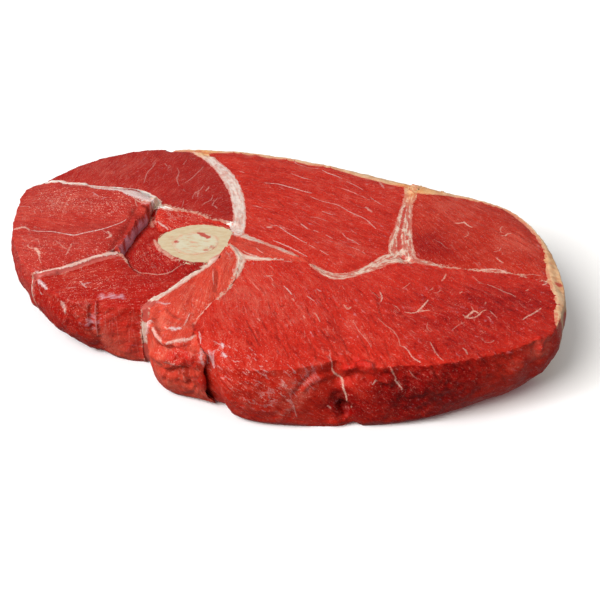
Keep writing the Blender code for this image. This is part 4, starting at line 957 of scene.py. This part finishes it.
# the muscles: where their fibres spread from (mm in plan), colours and soft spots
leanPieces = {
    "top_round": {
        "fan": (-77, 160), "lean": 0.5, "mid": "#BC2414", "clefts": 0.5,
        # its front wall is painted darker in the hollow under the torn rim, as painted shade, and deeper red to the
        # right, partly painted shade; its front left corner has a painted highlight in its tones and sheens, and its
        # front carries painted glints in its specks
        "tones": [(250, 292, 40, 0.3), (290, 312, 30, 0.15), (320, 345, 25, -0.2), (455, 318, 62, -0.55),
                  (520, 305, 48, -0.5), (545, 300, 20, -0.2), (480, 350, 24, -0.15), (207, 355, 10, 0.2),
                  (215, 346, 16, 0.1), (460, 350, 26, -0.2)],
        "walls": [(435, 388, 50, -0.9), (390, 398, 36, -0.6), (345, 402, 16, -1.3), (300, 418, 22, 0.3),
                  (500, 365, 34, 0.3), (325, 402, 16, -0.6), (540, 345, 14, 1.2), (288, 392, 20, 0.3),
                  (300, 395, 14, 0.2)],
        "sheens": [(201, 356, 5, 0.2), (212, 358, 6, 0.2)],
        "roughs": [(225, 350, 22, 0.4), (260, 375, 24, 0.4), (290, 395, 18, 0.4), (240, 395, 22, 0.3)],
        "crumples": [(355, 368, 14, 2.4), (345, 400, 14, 2.4), (385, 375, 12, 1.2), (540, 346, 8, 1.6),
                     (310, 385, 12, 0.8), (420, 385, 40, 1.2)],
        "freshes": [(358, 366, 9, 1.0), (345, 370, 6, 0.8), (372, 368, 7, 0.8), (540, 346, 8, 1.0),
                    (385, 378, 6, 0.5)],
        "laps": [(270, 262, 14, 0.7)] + flapSeamLaps + eyeSeamLaps,
    },
    "bottom_round": {
        "fan": (-149, 154), "mid": "#B82617", "streak": 1.0, "clefts": 0.5,
        "tones": [(262, 182, 30, -0.25), (330, 168, 25, 0.2), (345, 250, 22, 0.1), (380, 240, 14, -0.2)],
        "laps": [(300, 258, 10, 1.0), (275, 248, 12, 0.4), (406, 200, 9, 3.4)],
    },
    "eye_round": {
        "fan": (20, 150), "mid": "#AC2615", "streak": 0.4, "clefts": 0.25, "net": 0.1,
        "tones": [(425, 245, 26, -0.9), (448, 256, 20, -0.3), (455, 204, 32, 0.35), (520, 242, 36, 0.3)],
        "laps": eyeSeamLaps,
    },
    "outer_tip": {
        "slot": "dark_meat", "fan": (-170, -20), "mid": "#9F1D15", "pale": "#B94C40", "streak": 0.5, "clefts": 0.25,
        "tones": [(100, 172, 36, 0.3), (222, 210, 16, -0.45), (212, 195, 20, -0.15)],
        "laps": [(180, 211, 14, 1.4), (202, 214, 14, 1.4), (216, 217, 10, 1.6)],
    },
    "centre_tip": {
        "fan": (-260, 60), "mid": "#AE2C22", "silverskinAndSheen": "#D090A0", "streak": 0.5, "grainy": 1.2,
        # the two dark tones by its right edge, at across 120 and 136, are painted shade beside its sloping side
        "tones": [(60, 203, 36, 0.2), (120, 238, 18, -0.25), (22, 215, 14, 0.35), (136, 220, 8, -0.3)],
        "walls": [(20, 250, 20, -0.2)],
        "sheens": [(124, 254, 6, 1.5), (129, 247, 7, 1.9), (135, 240, 7, 1.9), (141, 232, 7, 1.9),
                   (146, 226, 6, 1.5)],
        "crisp": 3,
        "roughs": [(60, 200, 28, 1.3), (110, 204, 22, 1.4), (40, 250, 30, 0.6), (95, 250, 24, 0.6)],
        "laps": [(60, 270, 30, 0.6), (105, 256, 20, 1.2)],
    },
    "inner_tip": {
        "fan": (-260, -60), "lean": 0.2, "mid": "#A41408", "pale": "#C84C3A", "streak": 0.7, "clefts": 0.5,
        "speck": 0.45, "grainy": 1.2,
        "tones": [(75, 275, 24, 0.3), (150, 285, 25, -0.2), (190, 272, 20, -0.5), (108, 298, 8, 0.3)],
        # its front left wall is painted lighter, as painted light where the key light falls on it, and its rim
        # carries a painted sheen
        "walls": [(85, 312, 14, 0.3), (120, 330, 30, 0.5), (138, 356, 22, 1.1), (110, 345, 20, 0.6),
                  (70, 300, 10, 0.2)],
        "sheens": [(102, 298, 4.5, 0.55), (112, 297, 4.5, 0.6), (122, 297, 4.5, 0.55), (92, 322, 9, 0.4)],
        "freshes": [(120, 325, 26, 0.7), (138, 352, 18, 0.7), (110, 282, 24, 0.35), (150, 288, 16, 0.5)],
        "roughs": [(85, 278, 30, 0.5), (140, 285, 30, 0.2)],
        "laps": [(60, 270, 24, 1.8), (85, 262, 24, 1.4), (110, 256, 20, 1.8)],
    },
    "bone_tip_front": {
        "fan": (-120, 100), "mid": "#9C0E05", "grainy": 1.1, "streak": 0.6, "clefts": 0.4, "net": 0.15, "speck": 0.4,
        "tones": [(190, 268, 14, -0.5), (163, 255, 8, -0.6), (135, 225, 8, -0.4)],
        "roughs": [(150, 258, 20, 0.6)],
        "lifts": [(166, 259, 10, 1.9), (178, 265, 12, 2.1), (194, 268, 12, 2.0), (157, 250, 8, 1.4)],
        "laps": [(166, 258, 8, 1.2), (178, 264, 10, 2.0), (194, 268, 12, 2.0)],
    },
    "bone_tip_back": {
        "fan": (-160, 120), "mid": "#BE2416", "net": 0.3, "speck": 0.6, "grainy": 1.0,
        "roughs": [(180, 217, 20, 0.8)],
        "laps": [(190, 211, 20, 0.9), (216, 221, 10, 1.2)],
    },
    "flap": {
        "fan": (-20, 90), "mid": "#C8402D", "deep": "#9C0C06", "pale": "#DC8068", "streak": 0.5, "clefts": 0.25,
        "tones": [(165, 326, 9, 0.3), (158, 318, 7, 0.2)],
        "walls": [(180, 355, 12, -0.4), (190, 382, 14, -0.2), (170, 375, 12, -0.2), (185, 350, 8, -0.4)],
        "roughs": [(180, 310, 24, 0.3), (175, 360, 20, 0.4)],
        "laps": [(236, 272, 7, 0.8)] + flapSeamLaps,
        "crumples": [(180, 365, 16, 3.4), (192, 384, 12, 2.6), (165, 330, 10, 1.2), (165, 372, 12, 2.0)],
        "freshes": [(180, 354, 9, 0.9), (193, 362, 8, 1.0), (202, 380, 9, 1.0), (170, 357, 8, 0.6)],
    },
    "wedge": {"fan": (-90, 60), "mid": "#C43E2C", "tones": [(228, 252, 6, -0.5)]},
}
grainSet = {
    "stretch": 0.24,  # fibres are this much longer than wide, as a share
    "depthStretch": 0.4,
    "warpSize": 26.0,
    "warp": 3.0,  # mm, how far the fibres wander
    "fanRadius": 150.0,
}


def grainOf(piece, fan, lean):
    # places measured along the fibres, across them and down, in mm; the fibres spread from the fan's centre
    plan = piece.start - np.array([target.x, target.y, 0]) / mm
    offX, offY = plan[:, 0] - fan[0], plan[:, 1] - fan[1]
    wander = grainSet["warp"] * roughField(piece.start / grainSet["warpSize"], 11)
    return np.stack([
        np.hypot(offX, offY) * grainSet["stretch"],
        np.arctan2(offY, offX) * grainSet["fanRadius"] + wander + lean * piece.start[:, 2],
        piece.start[:, 2] * grainSet["depthStretch"],
    ], 1)


# the tip's centre stands proud of its right neighbours, and its side there slopes
tipSlope = {
    "edge": (157, 211, 148, 225, 139, 241, 127, 259),  # places in the picture
    "amounts": (0.2, 2.6, 3.6, 3.0),  # mm, how far the side leans back at each of them
    "back": (-1.0, 0.25), "reach": 12.0, "low": 38.0, "raise": 0.5, "raiseReach": 5.5,
}


def slopeTip(piece):
    edge = np.array(lineSeen(tipSlope["edge"]))
    away = np.linalg.norm(piece.start[:, None, :2] - edge[None, :, :2], axis=2)
    along = away.argmin(1) / (len(edge) - 1) * (len(tipSlope["amounts"]) - 1)
    amount = np.interp(along, range(len(tipSlope["amounts"])), tipSlope["amounts"])
    high = np.clip((piece.start[:, 2] - tipSlope["low"]) / 4.0, 0, 1)
    back = np.where(piece.open, easeOff(away.min(1), tipSlope["reach"]) * high * amount, 0.0)
    rise = np.maximum(tipSlope["raiseReach"] - away.min(1), 0) * tipSlope["raise"] * high
    piece.points[:, 2] += np.where(piece.top, rise, 0.0)
    piece.points[:, :2] += back[:, None] * np.array(tipSlope["back"])


# how the knife leaves all the lean, mm
cutSet = {
    "seamLift": 1.35, "rimLift": 1.2, "rimOut": 0.9, "lap": 1.0, "groove": 0.8,
    "swell": (15.0, 0.4), "ridge": (2.6, 0.26), "fineRidge": (1.3, 0.1), "crag": (6.0, 0.6),  # size and depth
    "crumple": 4.4, "fineCrumple": 1.9,
    "boneLevel": 41.8, "boneReach": 4.0, "boneMost": 2.8,  # the meat beside the bone comes level with it
    "highUp": 30.0,  # what is above this belongs to the cut face and its rim
}
capLift = [(415, 192, 18, 1.4)]  # the cap and the meat beside it stand up where the eye of round begins
coverReach = 12.0  # mm, as far from a seam as fat laps over a muscle
strokeLines = strokeSegments(strokes)
slitLines = strokeSegments(slits)
leanEdges, coverPoints, coverFaces = [], [], []
for index, (nodeName, own) in enumerate(leanPieces.items()):
    given = plainLean | own
    piece = Piece(nodeName, given["crisp"])
    spots = {key: spotField(piece, given[key]) for key in spotKinds}
    grain = grainOf(piece, given["fan"], given["lean"])
    longGrain = grain * np.array([0.4, 1.0, 1.0])
    seeds = {
        "swell": (20, piece.start), "ridge": (40, longGrain), "fineRidge": (60, grain), "crag": (70, piece.start)}
    noise = {key: cutSet[key][1] * roughField(places / cutSet[key][0], seed + index)
             for key, (seed, places) in seeds.items()}
    crumpled = roughField(piece.start / cutSet["crumple"], 75)
    crumpled += 0.3 * roughField(piece.start / cutSet["fineCrumple"], 76)
    way, near, strong, tints = nearestStroke(piece, strokeLines)
    cutWay, _, cutStrong, _ = nearestStroke(piece, slitLines)
    groove = cutStrong * easeOff(np.linalg.norm(cutWay, axis=1), 2.2)
    ledge = piece.ledge()
    calm = easeOff(piece.distanceTo(ledge)[0], 6.0)
    piece.squareUp(cutSet["seamLift"], cutSet["rimLift"], cutSet["rimOut"], calm)
    if nodeName == "centre_tip":
        slopeTip(piece)
    wall = piece.wallShare
    relieved = reliefField(piece, relief) + crumpled * spots["crumples"]
    ridges = (noise["ridge"] + noise["fineRidge"]) * (0.6 + 1.6 * wall)
    relieved += noise["swell"] * (1 + wall) + noise["crag"] * wall - cutSet["groove"] * groove
    piece.push(ridges + relieved)
    piece.points[:, 2] += np.where(piece.top, spots["lifts"], 0.0)
    upper = piece.open & (piece.start[:, 2] > cutSet["highUp"])
    piece.points[:, 2] += np.where(upper, spotField(piece, capLift), 0.0)
    hidden = piece.zones == innerZone
    level = piece.seam & piece.top & piece.touches(hidden & (piece.beside != besideLean))
    leanEdges.append(piece.points[(level | ledge) & (piece.points[:, 2] > cutSet["highUp"])])
    wandering = 0.5 * roughField(piece.start / 3.0, 5)
    piece.lapOver((cutSet["lap"] + spots["laps"] + wandering, 0.35), 0.1, 1.0)
    atBone = piece.seam & piece.touches(hidden & (piece.beside == besideBone))
    toBone = np.where(atBone, cutSet["boneLevel"] + 0.08 - piece.points[:, 2], 0.0)
    toBone *= np.abs(toBone) < cutSet["boneMost"]
    levelled = toBone[piece.nearSeam] * easeOff(piece.toSeam, cutSet["boneReach"])
    piece.points[:, 2] += np.where(piece.top, levelled, 0.0)
    # the walls spots are painted light and shade: lighter where a side catches the light, darker where it is turned
    # away or sunk in a hollow, partly also a deeper red; the sides are also painted darker within 16 mm of the floor,
    # as painted shade
    low = easeOff(piece.start[:, 2], 16.0) * wall
    piece.paint = {
        "grain": grain, "veinWay": way, "veinNear": near, "veinStrong": strong, "veinTint": tints,
        "cut": 0.7 * groove, "tone": spots["tones"] + wall * spots["walls"] - 0.15 * low,
        "sheen": spots["sheens"], "fresh": spots["freshes"], "rough": given["speck"] + spots["roughs"],
        "fringe": easeOff(piece.toFat, given["fringe"]),
    }
    nearTops = piece.faces[(piece.zones == topZone) & (piece.toSeam[piece.faces[:, 0]] < coverReach)]
    coverFaces += (nearTops + sum(len(points) for points in coverPoints)).tolist()
    coverPoints.append(piece.points)
    piece.finish(cutLeanBeef("leanBeefKnifeCut_" + nodeName, given))
    print(nodeName, len(piece.faces), "triangles")

# the fat lies level with the muscles on either side of it
leanEdges = np.concatenate(leanEdges)
edgeTree = KDTree(len(leanEdges))
for k, place in enumerate(leanEdges.tolist()):
    edgeTree.insert((place[0], place[1], 0.0), k)
edgeTree.balance()
leanTops = BVHTree.FromPolygons(np.concatenate(coverPoints).tolist(), coverFaces, all_triangles=True)


def levelBeside(points):
    # the height of the muscles' edges around each point, mm
    heights = np.empty(len(points))
    for k, (x, y, _) in enumerate(points.tolist()):
        found = edgeTree.find_n((x, y, 0.0), 14)
        share = np.array([1 / (apart * apart + 0.05) ** 1.5 for _, _, apart in found])
        heights[k] = (share * leanEdges[[i for _, i, _ in found], 2]).sum() / share.sum()
    return heights


# the fat: colours and how much of it is pink
plainFat = {
    "shade": "#BC9284", "light": "#CEB6A8", "pink": "#C4685A", "pinkShare": 0.25, "gloss": 0.42, "bumpy": 0.2,
    "lap": 0.6, "lumps": 0.4, "stain": 0.4, "proud": 0.0, "along": 0.16, "alongSeam": True,
    "laps": [], "drops": [], "walls": [], "thinEdge": "#C4503E", "underEdge": 0.0, "rise": 0.0,
}
fatPieces = {
    "fat_tip_seam": {
        "shade": "#DCD0C6", "light": "#E8E6DE", "pinkShare": -0.3, "lap": 0.8, "proud": 0.15,
        # its walls spots paint the side of its right end red, as painted shade in the crevice there
        "thinEdge": "#D4806C", "walls": [(155, 202, 5, 0.9), (155, 208, 8, 1.6)],
        "laps": [(86, 186, 10, 1.2, 0, -1), (100, 187, 12, 2.4, 0, -1), (117, 188, 13, 3.6, 0, -1),
                 (134, 190, 13, 6.0, 0, -1), (147, 195, 11, 5.0, 0, -1), (156, 201, 8, 3.0, 0, -1)],
        "drops": [(178, 211, 14, 0.7), (200, 214, 14, 0.7), (216, 219, 13, 1.2)],
    },
    "fat_outer_seam": {"shade": "#C8A498", "light": "#D4C2B8", "pinkShare": 0.1},
    "fat_inner_seam": {"shade": "#CCAC9C", "light": "#D8C8B8", "pinkShare": -0.05, "lap": 0.9, "proud": 0.12},
    "fat_lobe_seam": {
        "shade": "#D4B4A6", "light": "#E2D2C6", "pinkShare": 0.0, "underEdge": 1.5,
        "laps": [(60, 270, 24, -1.6, 0, -1), (85, 262, 24, -1.6, 0, -1), (110, 256, 20, -1.6, 0, -1)],
    },
    "fat_eye_seam": {
        "shade": "#BE8270", "light": "#D2B6A4", "pink": "#B84A3A", "pinkShare": 0.6, "stain": 0.75,
        "laps": [(394, 240, 12, 1.8, -1, 0), (382, 250, 12, 2.0, -1, 0.3)],
        "drops": [(470, 269.5, 16, 0.8), (505, 272, 22, 0.8), (535, 277, 14, 0.8), (445, 267, 8, 0.3)],
    },
    "fat_wedge_seam": {"pinkShare": 0.3},
    "fat_flap_seam": {
        "shade": "#CCA694", "light": "#D8C4B2", "pinkShare": 0.1, "lap": 0.5, "proud": 0.1,
        "drops": [(230, 283, 8, 0.45), (222, 294, 8, 0.6), (214, 303, 8, 0.6)],
    },
    "fat_cap": {
        "shade": "#CC9A72", "light": "#DAB48E", "pink": "#C8805A", "pinkShare": -0.1, "bumpy": 0.3, "lumps": 0.25,
        "lap": 1.7, "proud": 0.2, "along": 0.3, "alongSeam": False, "rise": 5.0,
        "laps": [(415, 190, 9, 3.5, 0, -1), (426, 191, 12, 6.0, 0, -1), (440, 193, 12, 3.5, 0, -1)],
    },
}
# where the fat has aged tan, beside the cap, and where bloodstains show in it, together with red painted as shade in
# the crevice beside the flap (across 146 to 152): across, down, radius in mm, amount
agedSpots = [
    (205, 153, 12, 1.0), (155, 204, 7, 0.5), (566, 322, 14, 0.9), (412, 188, 18, 0.6), (413, 197, 12, 0.6),
    (411, 205, 7, 0.3), (432, 192, 12, 0.6), (400, 186, 10, 0.5), (553, 262, 20, 0.5), (546, 243, 14, 0.9),
    (568, 305, 14, 0.3), (562, 285, 16, 0.4),
]
bloodAndShadeSpots = [
    (403, 257, 3.5, 1.2), (399, 248, 5, 0.7), (404, 240, 5, 0.5), (558, 285, 4, 1.3), (565, 297, 3.5, 1.3),
    (561, 276, 3, 0.8), (216, 165, 2.5, 0.8), (232, 200, 5, 0.3), (390, 250, 6, 0.5), (150, 311, 11, 1.8),
    (151, 350, 14, 1.6), (152, 366, 12, 1.6), (147, 350, 9, 1.6), (147, 361, 10, 1.8), (146, 316, 6, 1.2),
    (565, 320, 9, 1.6), (561, 331, 10, 1.6), (567, 312, 6, 1.0),
]
# the same along lines: half width in mm, amount, places
bloodLines = [
    (2.4, 1.0, 405, 208, 403, 218, 401, 228, 399, 238, 400, 247),
    (1.6, 0.6, 409, 214, 408, 228, 407, 240), (2.0, 0.5, 392, 244, 386, 250, 378, 256),
]
for index, (nodeName, own) in enumerate(fatPieces.items()):
    given = plainFat | own
    piece = Piece(nodeName)
    lumps = roughField(piece.start / 3.4, 80 + index) + 0.5 * roughField(piece.start / 1.5, 90 + index)
    piece.squareUp(0.0, 0.0, 0.7)
    chosen = np.flatnonzero(piece.top)
    share = easeOff(piece.toSeam[chosen], given["rise"]) if given["rise"] else 1.0
    rise = levelBeside(piece.points[chosen]) + given["proud"] - piece.points[chosen, 2]
    piece.points[chosen, 2] += rise * share
    rim = piece.open & ~piece.top & (piece.start[:, 2] > cutSet["highUp"])
    piece.points[:, 2] += np.where(rim, spotField(piece, capLift), 0.0) - piece.top * spotField(piece, given["drops"])
    piece.push(lumps * given["lumps"] * (1 - easeOff(piece.toSeam, 1.6)))
    far = piece.spread(given["laps"])
    piece.lapOver((given["lap"] + 0.5 * roughField(piece.start / 3.0, 7), 0.4), 0.05, 1.0)
    # where fat laps over a muscle, its edge lies on top of it
    for k in np.flatnonzero((far > 0.1) & piece.top):
        x, y, _ = piece.points[k]
        for ahead, above in ((0.0, 0.18), (0.8, 0.1), (1.6, 0.0)):
            below = leanTops.ray_cast((x, y - ahead, 60.0), (0, 0, -1))[0]
            if below is not None:
                piece.points[k, 2] = max(piece.points[k, 2], below.z + above)
    toEdge = piece.toSeam + far[piece.nearSeam] - far
    along = piece.start * given["along"]
    inFront = piece.outward[piece.nearSeam][:, 1] < -0.3
    # the red paint: bloodstains, and painted shade on the fat in the crevice beside the flap, on the side of the tip
    # seam's end by its walls spots, and on the lobe seam's front, painted as the shaded meat under its white edge
    bloodAndShade = spotField(piece, bloodAndShadeSpots) + reliefField(piece, bloodLines)
    bloodAndShade += piece.wallShare * spotField(piece, given["walls"])
    bloodAndShade += given["underEdge"] * np.where(inFront, 1.0, 1 - easeOff(toEdge, 2.0))
    piece.paint = {
        "strip": np.stack([toEdge if given["alongSeam"] else along[:, 2], along[:, 0], along[:, 1]], 1),
        "bloodAndShade": bloodAndShade, "edge": easeOff(toEdge, 1.2), "aged": np.clip(spotField(piece, agedSpots), 0, 1),
    }
    piece.finish(trimmedFat(nodeName + "KnifeCut", given))
    print(nodeName, len(piece.faces), "triangles")

# the sawn thigh bone and its marrow
bonePieces = {
    "femur": {
        "name": "sawnThighBone", "slot": "bone", "shade": "#C2AB88", "light": "#C8B796", "pink": "#C68E7C",
        "pinkShare": -0.25, "gloss": 0.5, "bumpy": 0.15, "proud": 0.0, "stain": 0.5, "thinEdge": "#CC9478",
    },
    "marrow": {
        "name": "rawMarrow", "slot": "marrow", "shade": "#C4B492", "light": "#CAC1A6", "pink": "#CE8C78",
        "pinkShare": 0.0, "gloss": 0.4, "bumpy": 0.2, "proud": 0.12, "stain": 0.7, "thinEdge": "#D09A80",
    },
}
boneBlood = [
    (199, 232, 2.6, 1.2), (203, 234, 3.2, 1.6), (208, 236, 3.2, 1.5), (176, 241, 4.0, 0.8), (212, 246, 3.6, 1.0),
    (206, 249, 3.2, 0.9), (160, 254, 5, 0.8), (172, 260, 5, 0.55), (190, 264, 4, 0.5), (178, 250, 3.0, 0.5),
]
for nodeName, given in bonePieces.items():
    piece = Piece(nodeName, 3)
    # the walls come down with the sawn face
    level = cutSet["boneLevel"] + given["proud"]
    lowered = np.interp(piece.points[:, 2], (0, 38.0, piece.start[:, 2].max()), (0, 38.0, level - 0.15))
    piece.points[:, 2] = np.where(piece.top, level, lowered)
    piece.zones[piece.zones == outerZone] = innerZone
    piece.push(0.03 * roughField(piece.start / 2.0, 99))
    piece.lapOver((0.4, 0.2), 0.0, 1.0)
    lowWall = piece.wallShare * np.clip((42.0 - piece.start[:, 2]) / 2.0, 0, 1)
    piece.paint = {
        "strip": piece.start * np.array([0.25, 0.9, 0.2]), "bloodAndShade": spotField(piece, boneBlood) + 0.9 * lowWall,
        "edge": 0.9 * easeOff(piece.toSeam, 3.2), "aged": np.zeros(len(piece.points)),
    }
    piece.finish(trimmedFat(given["name"], given))
    print(nodeName, len(piece.faces), "triangles")
